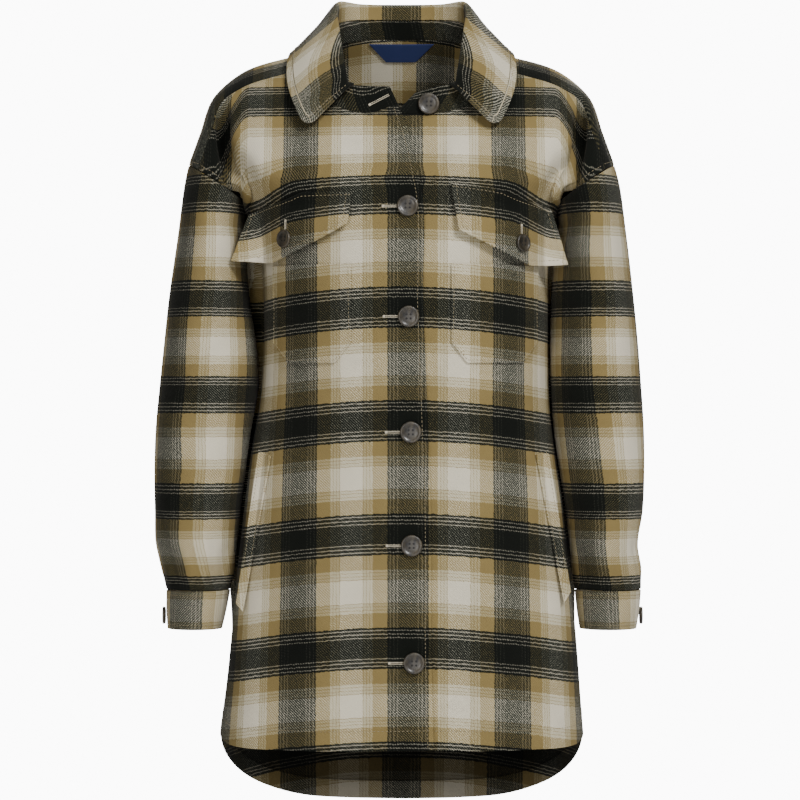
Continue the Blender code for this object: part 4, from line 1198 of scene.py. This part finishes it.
def welt_sheet(side, trees):
    front_top, front_low, back_top, back_low = WELTS[side]

    def corners(across, down):
        front, back = between(front_top, front_low, down), between(back_top, back_low, down)
        return between(front, back, across)

    return laid(side, trees, corners, WELT_SHELL, lambda across, down: WALL + LYING_GAP)


def build_pockets(look):
    for side in (RIGHT, LEFT):
        for name, make, flat, wall, _ in PATCHES:
            grid, uv = make(side, smooth_fronts())
            shell(f"{name}_{words(side)}", grid, uv, look, wall)


def button_places(trees, large, small):
    """Name, place, direction out and diameter of every button."""
    found = []
    for side in (RIGHT, LEFT):
        tree = tree_of(flap_sheet(side, trees)[0])
        place, facing = on_front([tree], *FLAP_BUTTONS[side], DOUBLED_WALL / 2 + LYING_GAP)
        found.append((f"flap_button_{words(side)}", place, facing, small))
    for number, (x, z) in enumerate(zip(BUTTON_XS, FRONT_BUTTON_Z), 1):
        place, facing = on_front(trees, x, z, WALL / 2 + LYING_GAP)
        found.append((f"front_button_{number}", place, facing, large))
    stand = tree_of(stand_grid(STAND_SHELL_COLUMNS, STAND_ROWS))
    place, facing = on_front([stand], *NECK_BUTTON, WALL / 2 + LYING_GAP)
    found.append(("neck_button", place, facing, large))
    for side in (RIGHT, LEFT):
        outer = cuff_grid(side, 1)
        place = outer[len(outer) // 2, RING_STEPS // 2] + (side * (WALL / 2 + LYING_GAP), 0, 0)
        found.append((f"cuff_button_{words(side)}", place, np.array((side, 0, 0)), small))
    return found


def button_mesh(name, diameter):
    """A turned button with a rim and a dished middle, its back at the origin, facing +Z, with
    four dark discs for its holes, painted with the shade that falls into them."""
    r, t = diameter / 2, BUTTON_THICK
    bm = bmesh.new()
    turns = BUTTON_TURNS
    loops = []
    for share, height in BUTTON_PROFILE:
        loop = []
        for k in range(turns):
            angle = 2 * math.pi * k / turns
            x, y = share * r * MM * math.cos(angle), share * r * MM * math.sin(angle)
            loop.append(bm.verts.new((x, y, height * t * MM)))
        loops.append(loop)
    for low, high in zip(loops, loops[1:]):
        for k in range(turns):
            after = (k + 1) % turns
            bm.faces.new((low[k], low[after], high[after], high[k]))
    bm.faces.new(loops[0][::-1])
    bm.faces.new(loops[-1])
    level = BUTTON_PROFILE[-1][1] * t - HOLE_SUNK
    for x, y in ((1, 1), (1, -1), (-1, 1), (-1, -1)):
        hole = bmesh.ops.create_cone(
            bm,
            cap_ends=True,
            segments=HOLE_SIDES,
            radius1=HOLE * MM,
            radius2=HOLE * MM,
            depth=HOLE_DEPTH * MM,
        )["verts"]
        middle = Vector((x * HOLE_OUT, y * HOLE_OUT, level)) * MM
        bmesh.ops.translate(bm, verts=hole, vec=middle)
        # The hole discs take the painted shade of the holes.
        for face in {face for vert in hole for face in vert.link_faces}:
            face.material_index = 1
    bmesh.ops.recalc_face_normals(bm, faces=bm.faces)
    mesh = bpy.data.meshes.new(name)
    bm.to_mesh(mesh)
    bm.free()
    mesh.shade_smooth()
    mesh.set_sharp_from_angle(angle=EDGE_ANGLE)
    return mesh


def build_buttons(look, hole_look, large, small):
    for name, place, facing, diameter in button_places(smooth_fronts(), large, small):
        mesh = button_mesh(name, diameter)
        made = add_object(f"{name}_horn", mesh, look, [name])
        mesh.materials.append(hole_look)
        made.location = Vector(place) * MM
        made.rotation_euler = Vector(facing).to_track_quat("Z", "Y").to_euler()
        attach(made, "root")


# Rows of stitches: piece, edge that the row follows, its distance in, and how much is left out at
# the row's start and end, in mm
PANEL_ROWS = (
    ("front_right", "first_column", 6.0, 2, 4), ("front_right", "first_row", 20.0, 4, 2),
    ("front_left", "first_row", 20.0, 40, 2), ("back", "first_row", 20.0, 3, 3),
    ("yoke", "last_row", 5.0, 2, 2), ("yoke", "first_column", 5.5, 2, 2),
    ("yoke", "last_column", 5.5, 2, 2), ("front_right", "last_column", 5.5, 565, 2),
    ("front_left", "last_column", 5.5, 565, 2),
)
COLLAR_ROWS = (("last_row", 6.5, 6, 6), ("first_column", 6.5, 12, 6), ("last_column", 6.5, 12, 6))
POCKET_ROWS = (("first_column", 3.0, 2, 2), ("last_row", 3.0, 2, 2), ("last_column", 3.0, 2, 2))
FLAP_ROWS = (
    ("first_column", 5.5, 2, 5), ("last_row", 5.5, 5, 5), ("last_column", 5.5, 2, 5),
    ("first_row", 4.0, 1, 1),
)
WELT_ROWS = (("first_column", 2.5, 1, 1), ("last_column", 2.5, 1, 1))
CUFF_ROWS = (("first_row", 4.5, 0, 0), ("last_row", 5.0, 0, 0))
PATCHES = (
    # piece, its sheet, its flat size, its wall, its rows of stitches
    ("chest_pocket", pocket_sheet, POCKET_CUT, WALL, POCKET_ROWS),
    ("pocket_flap", flap_sheet, FLAP_CUT, DOUBLED_WALL, FLAP_ROWS),
    ("pocket_welt", welt_sheet, WELT_CUT, WALL, WELT_ROWS),
)

# Buttonholes of the right front and of the flaps: from the button's middle to the near end, the
# length and the width
HOLE_NEAR, HOLE_LENGTH, HOLE_WIDTH = 10.5, 15.0, 2.6
FLAP_HOLE_NEAR, FLAP_HOLE_LENGTH = 9.5, 9.5
NECK_HOLE = ((-33.0, -57.0), (-13.0, -46.0))


def skin(grid, away_from):
    """A sheet's normals on the side that faces away from the given line of points."""
    normals = outward(grid)
    facing = (normals * (grid - away_from)).sum()
    return normals if facing > 0 else -normals


def off_axis(grid):
    """Points of the upright middle line, level with a grid's points."""
    middle = np.zeros_like(grid)
    middle[..., 2] = grid[..., 2]
    return middle


def beside(grid, normals, edge, distance, left_out_first, left_out_last):
    """The row on a sheet that follows one of its edges: points and normals."""
    if edge.endswith("column"):
        grid, normals = grid.transpose(1, 0, 2), normals.transpose(1, 0, 2)
    if edge.startswith("last"):
        grid, normals = grid[::-1], normals[::-1]
    length = running(grid, 0)
    points, facing = [], []
    for i in range(grid.shape[1]):
        at = min(np.interp(distance, length[:, i], np.arange(len(grid))), len(grid) - 1.001)
        j, t = int(at), at % 1
        points.append(grid[j, i] * (1 - t) + grid[j + 1, i] * t)
        facing.append(normals[j, i] * (1 - t) + normals[j + 1, i] * t)
    points, facing = np.array(points), unit(np.array(facing))
    run = chords(points)
    at = np.arange(left_out_first, run[-1] - left_out_last, 1.0)
    points, facing = (
        np.stack([np.interp(at, run, part[:, k]) for k in range(3)], 1) for part in (points, facing)
    )
    return points, unit(facing)


def stitches(row, lift, length=STITCH, gap=STITCH_GAP, thick=STITCH_THICK):
    """Thread grains along a row of points: two end points and a direction out for each."""
    points, facing = row
    if len(points) < 4:
        return []
    run = chords(points)
    found = []
    for start in np.arange(0, run[-1] - length, length + gap):
        ends = [
            np.array([np.interp(at, run, points[:, k]) for k in range(3)])
            for at in (start, start + length)
        ]
        out = facing[min(int(start), len(facing) - 1)]
        found.append((ends[0] + out * lift, ends[1] + out * lift, out, thick))
    return found


def thread_mesh(name, grains):
    """Each grain of thread is a slim eight-sided spindle between its two ends."""
    verts, faces = [], []
    for start, end, out, thick in grains:
        along = unit(end - start)
        across = np.cross(along, out)
        base = len(verts)
        verts.append(start)
        for share in THREAD_ENDS:
            middle = start + (end - start) * share
            for side, up in ((1, 0), (0, 1), (-1, 0), (0, -1)):
                verts.append(middle + (across * side + out * up) * thick / 2)
        verts.append(end)
        for k in range(4):
            after = (k + 1) % 4
            faces.append((base, base + 1 + k, base + 1 + after))
            faces.append((base + 1 + k, base + 5 + k, base + 5 + after, base + 1 + after))
            faces.append((base + 5 + k, base + 9, base + 5 + after))
    mesh = bpy.data.meshes.new(name)
    mesh.from_pydata((np.array(verts) * MM).tolist(), [], faces)
    mesh.shade_smooth()
    return mesh


def sewn(name, grains, look):
    return add_object(name, thread_mesh(name, grains), look, ())


def rows_on(grid, away_from, rows, wall):
    normals = skin(grid, away_from)
    grains = []
    for edge, distance, first, last in rows:
        row = beside(grid, normals, edge, distance, first, last)
        grains += stitches(row, wall / 2 + STITCH_LIFT)
    return grains


def buttonhole(start, end, out, width):
    """A worked buttonhole: two edges of close stitches and a bar at its far end."""
    along = unit(end - start)
    across = np.cross(along, out)
    length = np.linalg.norm(end - start)
    grains = []
    for at in np.arange(0, length, HOLE_PITCH):
        middle = start + along * at
        for side in (-1, 1):
            near, far = middle + across * side * HOLE_SLOT, middle + across * side * width / 2
            grains.append((near, far, out, HOLE_THREAD))
    for at in HOLE_BARS:
        middle = start + along * at
        bar = across * width * HOLE_BAR_WIDTH
        grains.append((middle - bar, middle + bar, out, HOLE_THREAD * HOLE_BAR_THICK))
    return grains


def build_stitching(look, hole_look):
    grids, trees = fronts(), smooth_fronts()
    panels = {
        "front_right": grids[RIGHT],
        "front_left": grids[LEFT],
        "back": back_grid(FINE),
        "yoke": yoke_grid(FINE),
    }
    grains = []
    for name, *row in PANEL_ROWS:
        grains += rows_on(panels[name], off_axis(panels[name]), [row], WALL)
    sewn("panel_stitches", grains, look)
    grid = collar_sheet()
    sewn("collar_stitches", rows_on(grid, off_axis(grid), COLLAR_ROWS, WALL), look)
    on_pockets, on_cuffs = [], []
    for side in (RIGHT, LEFT):
        for _, make, _, wall, rows in PATCHES:
            grid = make(side, trees)[0]
            on_pockets += rows_on(grid, off_axis(grid), rows, wall)
        grid = cuff_grid(side, CUFF_FINE)
        on_cuffs += rows_on(grid, grid.mean(1, keepdims=True), CUFF_ROWS, WALL)
    sewn("pocket_stitches", on_pockets, look)
    sewn("cuff_stitches", on_cuffs, look)
    build_buttonholes(trees, hole_look)


def build_buttonholes(trees, look):
    grains = []

    def worked(on, first, last, wall):
        start, out = on_front(on, *first, wall / 2 + STITCH_LIFT)
        end, _ = on_front(on, *last, wall / 2 + STITCH_LIFT)
        grains.extend(buttonhole(start, end, out, HOLE_WIDTH))

    for x, z in zip(BUTTON_XS, FRONT_BUTTON_Z):
        near = x - HOLE_NEAR
        worked(trees, (near - HOLE_LENGTH, z), (near, z), WALL)
    for side in (RIGHT, LEFT):
        x, z = FLAP_BUTTONS[side]
        near = z + FLAP_HOLE_NEAR
        flap = tree_of(flap_sheet(side, trees)[0])
        worked([flap], (x, near + FLAP_HOLE_LENGTH), (x, near), DOUBLED_WALL)
    stand = tree_of(stand_grid(STAND_SHELL_COLUMNS, STAND_ROWS))
    worked([stand, *trees], *NECK_HOLE, WALL)
    sewn("buttonhole_threads", grains, look)


def build_label(look):
    tree = tree_of(yoke_grid(FINE))
    columns, rows = LABEL_SHELL
    grid = np.empty((rows + 1, columns + 1, 3))
    for j in range(rows + 1):
        for i in range(columns + 1):
            upper, lower = (
                left + (right - left) * i / columns
                for left, right in (LABEL_TOP_EDGE, LABEL_FOOT_EDGE)
            )
            x = upper + (lower - upper) * j / rows
            z = LABEL_TOP - LABEL_HEIGHT * j / rows
            place, normal, _, _ = tree.ray_cast(Vector((x, 0, z)), Vector((0, 1, 0)))
            normal = normal if normal.y < 0 else -normal
            grid[j, i] = place + normal * ((WALL + LABEL_WALL) / 2 + LYING_GAP)
    uv = grid[..., [0, 2]]
    made = shell("neck_label", grid, uv, look, LABEL_WALL)


def node_group(name, inputs, outputs):
    """A shader group with its group input and output. inputs is (name, type, default) and
    outputs is (name, type)."""
    tree = bpy.data.node_groups.new(name, "ShaderNodeTree")
    for label, kind, default in inputs:
        socket = tree.interface.new_socket(name=label, in_out="INPUT", socket_type=kind)
        if default is not None:
            socket.default_value = default
    for label, kind in outputs:
        tree.interface.new_socket(name=label, in_out="OUTPUT", socket_type=kind)
    return tree, tree.nodes.new("NodeGroupInput"), tree.nodes.new("NodeGroupOutput")


def fed(tree, socket, value):
    """Sets a socket to a number or colour, or links it to another socket."""
    if isinstance(value, bpy.types.NodeSocket):
        tree.links.new(value, socket)
    else:
        socket.default_value = value


def filled(tree, node, **values):
    """The node with values or links on its inputs. An underscore stands for a space."""
    for label, value in values.items():
        fed(tree, node.inputs[label.replace("_", " ")], value)
    return node


def maths(tree, operation, *values, clamp=False):
    node = tree.nodes.new("ShaderNodeMath")
    node.operation = operation
    node.use_clamp = clamp
    for socket, value in zip(node.inputs, values):
        fed(tree, socket, value)
    return node.outputs[0]


def mixed(tree, blend, share, one, other):
    node = tree.nodes.new("ShaderNodeMix")
    node.data_type = "RGBA"
    node.blend_type = blend
    fed(tree, node.inputs["Factor"], share)
    for label, colour in (("A", one), ("B", other)):
        fed(tree, [x for x in node.inputs if x.name == label and x.type == "RGBA"][0], colour)
    return [x for x in node.outputs if x.type == "RGBA"][0]


def noise(tree, vector, scale, detail=2.0, roughness=0.5):
    node = tree.nodes.new("ShaderNodeTexNoise")
    filled(tree, node, Vector=vector, Scale=scale, Detail=detail, Roughness=roughness)
    return node.outputs["Fac"]


def stripe_group():
    """The yarn colour and its darkness at a distance along one way of the check."""
    tree, given, out = node_group(
        "yarn stripes",
        [("Along", "NodeSocketFloat", 0.0), ("Pins", "NodeSocketFloat", 0.5)],
        [("Color", "NodeSocketColor"), ("Darkness", "NodeSocketFloat")],
    )
    turns = maths(tree, "DIVIDE", given.outputs["Along"], REPEAT * MM)
    place = maths(tree, "FRACT", maths(tree, "ADD", turns, WHOLE_TURNS + 0.5))
    off_middle_of_turn = maths(tree, "ABSOLUTE", maths(tree, "SUBTRACT", place, 0.5))
    share = maths(tree, "MULTIPLY", off_middle_of_turn, 2.0)
    ramps = [stripe_ramp(tree, share, wanted) for wanted in (0, 1, 2)]
    pins = maths(tree, "MULTIPLY", ramps[1], given.outputs["Pins"])
    coloured = mixed(tree, "MIX", pins, ramps[0], (*PINSTRIPE, 1.0))
    filled(tree, out, Color=coloured, Darkness=ramps[2])
    return tree


def stripe_ramp(tree, share, wanted):
    """A ramp over half the repeat: the yarns' colours for 0, the pinstripes for 1 and where the
    yarn is dark for 2."""
    ramp = tree.nodes.new("ShaderNodeValToRGB")
    ramp.name = ("yarns", "pinstripes", "dark yarns")[wanted]
    ramp.color_ramp.interpolation = "CONSTANT"
    stops = ramp.color_ramp.elements
    while len(stops) > 1:
        stops.remove(stops[-1])
    for number, (start, yarn, pin) in enumerate(STRIPES):
        at = start / (REPEAT / 2)
        stop = stops[0] if number == 0 else stops.new(at)
        stop.position = at
        shade = (None, float(pin), float(yarn == "dark"))[wanted]
        stop.color = (*YARNS[yarn], 1.0) if wanted == 0 else (shade, shade, shade, 1.0)
    tree.links.new(share, ramp.inputs["Fac"])
    return ramp.outputs["Color"]


def dyed(stripes, settings):
    """Gives the yarns of the stripes the colours of the settings."""
    for stop, (_, yarn, _) in zip(stripes.nodes["yarns"].color_ramp.elements, STRIPES):
        stop.color = (*getattr(settings, yarn), 1.0)


def check_group(stripes):
    """The checked twill: its colour and the height of its ribs and nap, from the cloth's places."""
    tree, given, out = node_group(
        "flannel check",
        [("Place", "NodeSocketVector", None), ("Nap", "NodeSocketFloat", 0.5)],
        [("Color", "NodeSocketColor"), ("Height", "NodeSocketFloat")],
    )
    place = given.outputs["Place"]
    parts = filled(tree, tree.nodes.new("ShaderNodeSeparateXYZ"), Vector=place)
    uneven = maths(tree, "SUBTRACT", noise(tree, place, UNEVEN_SCALE), 0.5)
    both = []
    for axis, pins in (("X", WARP_PINS), ("Y", WEFT_PINS)):
        along = maths(tree, "MULTIPLY_ADD", uneven, UNEVEN_SHIFT * MM, parts.outputs[axis])
        node = tree.nodes.new("ShaderNodeGroup")
        node.node_tree = stripes
        both.append(filled(tree, node, Along=along, Pins=pins))
    warp, weft = both
    lean = maths(tree, "ADD", parts.outputs["X"], parts.outputs["Y"])
    phase = maths(tree, "MULTIPLY", lean, 2 * math.pi / (TWILL_PITCH * MM))
    wobble = maths(tree, "MULTIPLY_ADD", uneven, UNEVEN_RIBS, phase)
    rib = maths(tree, "MULTIPLY", maths(tree, "SINE", wobble), RIB_SWING)
    fuzz = noise(tree, place, FUZZ_SCALE, FUZZ_DETAIL, FUZZ_ROUGHNESS)
    off_mean = maths(tree, "SUBTRACT", fuzz, 0.5)
    rough = maths(tree, "MULTIPLY_ADD", off_mean, FUZZ_SWING, rib)
    level = maths(tree, "MULTIPLY_ADD", weft.outputs["Darkness"], OVER_DARK_WEFT, WARP_SHARE)
    share = maths(tree, "MULTIPLY_ADD", rough, SHARE_SWING, level, clamp=True)
    powers = []
    for yarn, part in ((warp, share), (weft, maths(tree, "SUBTRACT", 1.0, share))):
        node = tree.nodes.new("ShaderNodeGamma")
        filled(tree, node, Color=yarn.outputs["Color"], Gamma=part)
        powers.append(node.outputs["Color"])
    woven = mixed(tree, "MULTIPLY", 1.0, *powers)
    nap = maths(tree, "MULTIPLY", off_mean, given.outputs["Nap"])
    patches = maths(tree, "SUBTRACT", noise(tree, place, PATCH_SCALE, PATCH_DETAIL), 0.5)
    shade = maths(tree, "ADD", maths(tree, "MULTIPLY_ADD", patches, PATCH_SHADE, 1.0), nap)
    coloured = tree.nodes.new("ShaderNodeVectorMath")
    coloured.operation = "SCALE"
    filled(tree, coloured, Vector=woven, Scale=shade)
    ribs = maths(tree, "MULTIPLY", rib, RIB_HEIGHT)
    height = maths(tree, "MULTIPLY_ADD", fuzz, FUZZ_HEIGHT, ribs)
    filled(tree, out, Color=coloured.outputs["Vector"], Height=height)
    return tree


def principled(name, **values):
    made = bpy.data.materials.new(name)
    made.use_nodes = True
    tree = made.node_tree
    return made, tree, filled(tree, tree.nodes["Principled BSDF"], **values)


def flannel(settings, shade=1.0):
    """The checked cloth. shade below 1 is painted shade that darkens a side lying in the hollow."""
    look, tree, shader = principled(
        "checked flannel",
        Roughness=CLOTH_ROUGHNESS,
        Specular_IOR_Level=CLOTH_SPECULAR,
        Sheen_Weight=settings.sheen,
        Sheen_Roughness=SHEEN_ROUGHNESS,
        Sheen_Tint=SHEEN_COLOUR,
    )
    places = tree.nodes.new("ShaderNodeUVMap")
    places.uv_map = "cloth"
    check = tree.nodes.new("ShaderNodeGroup")
    check.node_tree = bpy.data.node_groups.get("flannel check") or check_group(stripe_group())
    dyed(bpy.data.node_groups["yarn stripes"], settings)
    filled(tree, check, Place=places.outputs["UV"], Nap=settings.nap)
    # Painted shade: the colour is multiplied down for a side in the hollow.
    colour = mixed(tree, "MULTIPLY", 1.0, check.outputs["Color"], (shade, shade, shade, 1.0))
    bump = tree.nodes.new("ShaderNodeBump")
    depth = BUMP_DEPTH * MM
    filled(tree, bump, Strength=BUMP_STRENGTH, Distance=depth, Height=check.outputs["Height"])
    filled(tree, shader, Base_Color=colour, Normal=bump.outputs["Normal"])
    return look


def horn(settings):
    look, tree, shader = principled(
        "horn",
        Roughness=settings.roughness,
        Coat_Weight=HORN_COAT,
        Coat_Roughness=HORN_COAT_ROUGHNESS,
    )
    places = tree.nodes.new("ShaderNodeTexCoord")
    stretched = tree.nodes.new("ShaderNodeMapping")
    filled(tree, stretched, Scale=HORN_STRETCH, Vector=places.outputs["Object"])
    along = stretched.outputs["Vector"]
    streaks = noise(tree, along, HORN_SCALE, HORN_DETAIL, HORN_ROUGHNESS)
    ramp = filled(tree, tree.nodes.new("ShaderNodeValToRGB"), Fac=streaks)
    stops = ramp.color_ramp.elements
    for stop, at, colour in zip(stops, (HORN_FROM, HORN_TO), (settings.dark, settings.light)):
        stop.position = at
        stop.color = (*colour, 1.0)
    filled(tree, shader, Base_Color=ramp.outputs["Color"])
    return look


def plain(name, colour, roughness):
    return principled(name, Base_Color=(*colour, 1.0), Roughness=roughness)[0]


def soft_light(name, place, aim, size, power):
    lamp = bpy.data.lights.new(name, "AREA")
    lamp.shape = "RECTANGLE"
    lamp.size, lamp.size_y = size
    lamp.energy = power
    made = linked(name, lamp)
    made.location = place
    made.rotation_euler = (Vector(aim) - Vector(place)).to_track_quat("-Z", "Y").to_euler()


def build_floor():
    """A round pale floor. To the camera it glows a little, so that it stays pale far off."""
    bm = bmesh.new()
    bmesh.ops.create_circle(bm, cap_ends=True, segments=FLOOR_SIDES, radius=FLOOR_RADIUS)
    mesh = bpy.data.meshes.new("floor")
    bm.to_mesh(mesh)
    bm.free()
    look, tree, shader = principled(
        "pale floor", Base_Color=FLOOR_COLOUR, Roughness=FLOOR_ROUGHNESS, Emission_Color=WHITE
    )
    ray = tree.nodes.new("ShaderNodeLightPath")
    glow = maths(tree, "MULTIPLY", ray.outputs["Is Camera Ray"], FLOOR_GLOW)
    filled(tree, shader, Emission_Strength=glow)
    mesh.materials.append(look)
    floor = linked("floor", mesh)
    floor.location.z = FLOOR_Z


def build_room(sky):
    """An even pale room, which the camera sees brighter than it lights."""
    world = bpy.data.worlds.new("studio")
    world.use_nodes = True
    tree = world.node_tree
    room, seen = tree.nodes["Background"], tree.nodes.new("ShaderNodeBackground")
    for node, strength in ((room, sky), (seen, ROOM_SEEN)):
        filled(tree, node, Color=WHITE, Strength=strength)
    ray = tree.nodes.new("ShaderNodeLightPath")
    either = tree.nodes.new("ShaderNodeMixShader")
    tree.links.new(ray.outputs["Is Camera Ray"], either.inputs["Fac"])
    tree.links.new(room.outputs["Background"], either.inputs[1])
    tree.links.new(seen.outputs["Background"], either.inputs[2])
    tree.links.new(either.outputs["Shader"], tree.nodes["World Output"].inputs["Surface"])
    bpy.context.scene.world = world


def build_camera():
    """A level camera at the photo's viewing angle."""
    camera = bpy.data.cameras.new("camera")
    camera.lens = CAMERA_LENS
    camera.sensor_width = CAMERA_SENSOR
    made = linked("camera", camera)
    made.location = CAMERA_PLACE
    made.rotation_euler = (math.pi / 2, 0.0, 0.0)
    bpy.context.scene.camera = made


def build_stage(settings):
    build_floor()
    for name, place, aim, size, power in LIGHTS:
        soft_light(name, place, aim, size, power * settings.light)
    build_room(settings.sky)
    build_camera()


def share_setting(name, description, default):
    return bpy.props.FloatProperty(
        name=name, description=description, default=default, min=0.0, max=1.0, subtype="FACTOR"
    )


def colour_setting(name, description, default):
    return bpy.props.FloatVectorProperty(
        name=name, description=description, default=default, min=0.0, max=1.0, subtype="COLOR"
    )


def size_setting(name, description, default):
    return bpy.props.FloatProperty(
        name=name, description=description, default=default * MM, min=0.005, unit="LENGTH"
    )


class CLOTH_PG_settings(bpy.types.PropertyGroup):
    """How the flannel looks."""

    dark: colour_setting("Dark yarn", "Colour of the dark stripes", YARNS["dark"])
    tan: colour_setting("Tan yarn", "Colour of the tan stripes", YARNS["tan"])
    beige: colour_setting("Beige yarn", "Colour of the bands between tan and cream", YARNS["beige"])
    cream: colour_setting("Cream yarn", "Colour of the ground", YARNS["cream"])
    fine: colour_setting("Fine lines", "Colour of the fine lines on beige", YARNS["fine"])
    nap: share_setting("Nap", "How much the brushed nap varies the shade", 0.5)
    sheen: share_setting("Sheen", "Weight of the soft sheen on the nap", 0.05)
    # Hollow and Turned hem are painted shade: they darken the back's side in the hollow and the turned
    # hem inside it.
    hollow: share_setting("Hollow", "Share of light that the side of the back in the hollow gives", 0.15)
    turned: share_setting("Turned hem", "Share of light that the hem turned up in the hollow gives", 0.35)


class BUTTON_PG_settings(bpy.types.PropertyGroup):
    """Sizes and looks of the horn buttons."""

    large: size_setting("Large buttons", "Diameter of the front and neck buttons", BUTTON)
    small: size_setting("Small buttons", "Diameter of the flap and cuff buttons", SMALL_BUTTON)
    dark: colour_setting("Dark horn", "Colour of the horn's dark streaks", HORN_DARK)
    light: colour_setting("Light horn", "Colour of the horn's light streaks", HORN_LIGHT)
    roughness: share_setting("Roughness", "How matt the buttons are", 0.42)


class TRIM_PG_settings(bpy.types.PropertyGroup):
    """Colours of the label and the threads."""

    label: colour_setting("Label", "Colour of the neck label", LABEL_NAVY)
    thread: colour_setting("Seam thread", "Colour of the rows of stitches", THREAD)
    hole_thread: colour_setting("Buttonholes", "Colour of the buttonholes' thread", HOLE_THREAD_COLOUR)


class STAGE_PG_settings(bpy.types.PropertyGroup):
    """The studio."""

    light: bpy.props.FloatProperty(
        name="Light", description="Factor on the power of all the soft lights", default=1.0, min=0.0
    )
    sky: bpy.props.FloatProperty(
        name="Sky", description="Strength of the even light from all round", default=0.14, min=0.0
    )


class SHIRTJACKET_OT_body(bpy.types.Operator):
    """Builds the two fronts, the back and the yoke."""

    bl_idname = "shirtjacket.body"
    bl_label = "Body panels"

    def execute(self, context):
        settings = context.scene.shirtjacket_cloth
        # The looks for the hollow and for the turned hem are darkened by painted shade.
        shades = (1.0, settings.hollow, settings.turned)
        build_body(*(flannel(settings, shade) for shade in shades))
        return {"FINISHED"}


class SHIRTJACKET_OT_collar(bpy.types.Operator):
    """Builds the collar and its stand."""

    bl_idname = "shirtjacket.collar"
    bl_label = "Collar"

    def execute(self, context):
        build_collar(flannel(context.scene.shirtjacket_cloth))
        return {"FINISHED"}


class SHIRTJACKET_OT_sleeves(bpy.types.Operator):
    """Builds the sleeves and cuffs."""

    bl_idname = "shirtjacket.sleeves"
    bl_label = "Sleeves and cuffs"

    def execute(self, context):
        build_sleeves(flannel(context.scene.shirtjacket_cloth))
        return {"FINISHED"}


class SHIRTJACKET_OT_pockets(bpy.types.Operator):
    """Builds the chest pockets, their flaps and the slanted welts."""

    bl_idname = "shirtjacket.pockets"
    bl_label = "Pockets"

    def execute(self, context):
        build_pockets(flannel(context.scene.shirtjacket_cloth))
        return {"FINISHED"}


class SHIRTJACKET_OT_buttons(bpy.types.Operator):
    """Builds all the buttons."""

    bl_idname = "shirtjacket.buttons"
    bl_label = "Buttons"

    def execute(self, context):
        settings = context.scene.shirtjacket_buttons
        # The dark discs of the holes carry painted shade.
        hole = plain("painted hole shade", HOLE_SHADE_COLOUR, HOLE_ROUGHNESS)
        build_buttons(horn(settings), hole, settings.large / MM, settings.small / MM)
        return {"FINISHED"}


class SHIRTJACKET_OT_stitching(bpy.types.Operator):
    """Builds the rows of stitches and the worked buttonholes."""

    bl_idname = "shirtjacket.stitching"
    bl_label = "Stitching"

    def execute(self, context):
        settings = context.scene.shirtjacket_trim
        build_stitching(
            plain("sewing thread", settings.thread, THREAD_ROUGHNESS),
            plain("buttonhole thread", settings.hole_thread, HOLE_THREAD_ROUGHNESS),
        )
        return {"FINISHED"}


class SHIRTJACKET_OT_label(bpy.types.Operator):
    """Builds the bare neck label."""

    bl_idname = "shirtjacket.label"
    bl_label = "Neck label"

    def execute(self, context):
        navy = context.scene.shirtjacket_trim.label
        build_label(plain("label cloth", navy, LABEL_ROUGHNESS))
        return {"FINISHED"}


class SHIRTJACKET_OT_stage(bpy.types.Operator):
    """Builds the floor, the lights, the room and the camera."""

    bl_idname = "shirtjacket.stage"
    bl_label = "Stage"

    def execute(self, context):
        build_stage(context.scene.shirtjacket_stage)
        return {"FINISHED"}


class SHIRTJACKET_PT_panel(bpy.types.Panel):
    """The shirt-jacket's settings and steps."""

    bl_label = "Shirt-jacket"
    bl_space_type = "VIEW_3D"
    bl_region_type = "UI"
    bl_category = "Shirt-jacket"

    def draw(self, context):
        scene = context.scene
        for group, kind in SETTINGS.items():
            for name in kind.__annotations__:
                self.layout.prop(getattr(scene, group), name)
        for operator in OPERATORS:
            self.layout.operator(operator.bl_idname)


SETTINGS = {
    "shirtjacket_cloth": CLOTH_PG_settings,
    "shirtjacket_buttons": BUTTON_PG_settings,
    "shirtjacket_trim": TRIM_PG_settings,
    "shirtjacket_stage": STAGE_PG_settings,
}
OPERATORS = (
    SHIRTJACKET_OT_body,
    SHIRTJACKET_OT_collar,
    SHIRTJACKET_OT_sleeves,
    SHIRTJACKET_OT_pockets,
    SHIRTJACKET_OT_buttons,
    SHIRTJACKET_OT_stitching,
    SHIRTJACKET_OT_label,
    SHIRTJACKET_OT_stage,
)
CLASSES = (*SETTINGS.values(), *OPERATORS, SHIRTJACKET_PT_panel)


def register():
    for made in CLASSES:
        bpy.utils.register_class(made)
    for name, group in SETTINGS.items():
        setattr(bpy.types.Scene, name, bpy.props.PointerProperty(type=group))


def unregister():
    for name in SETTINGS:
        delattr(bpy.types.Scene, name)
    for made in reversed(CLASSES):
        bpy.utils.unregister_class(made)


def main():
    register()
    bpy.ops.shirtjacket.body()
    bpy.ops.shirtjacket.collar()
    bpy.ops.shirtjacket.sleeves()
    bpy.ops.shirtjacket.pockets()
    bpy.ops.shirtjacket.buttons()
    bpy.ops.shirtjacket.stitching()
    bpy.ops.shirtjacket.label()
    bpy.ops.shirtjacket.stage()


if __name__ == "__main__":
    main()
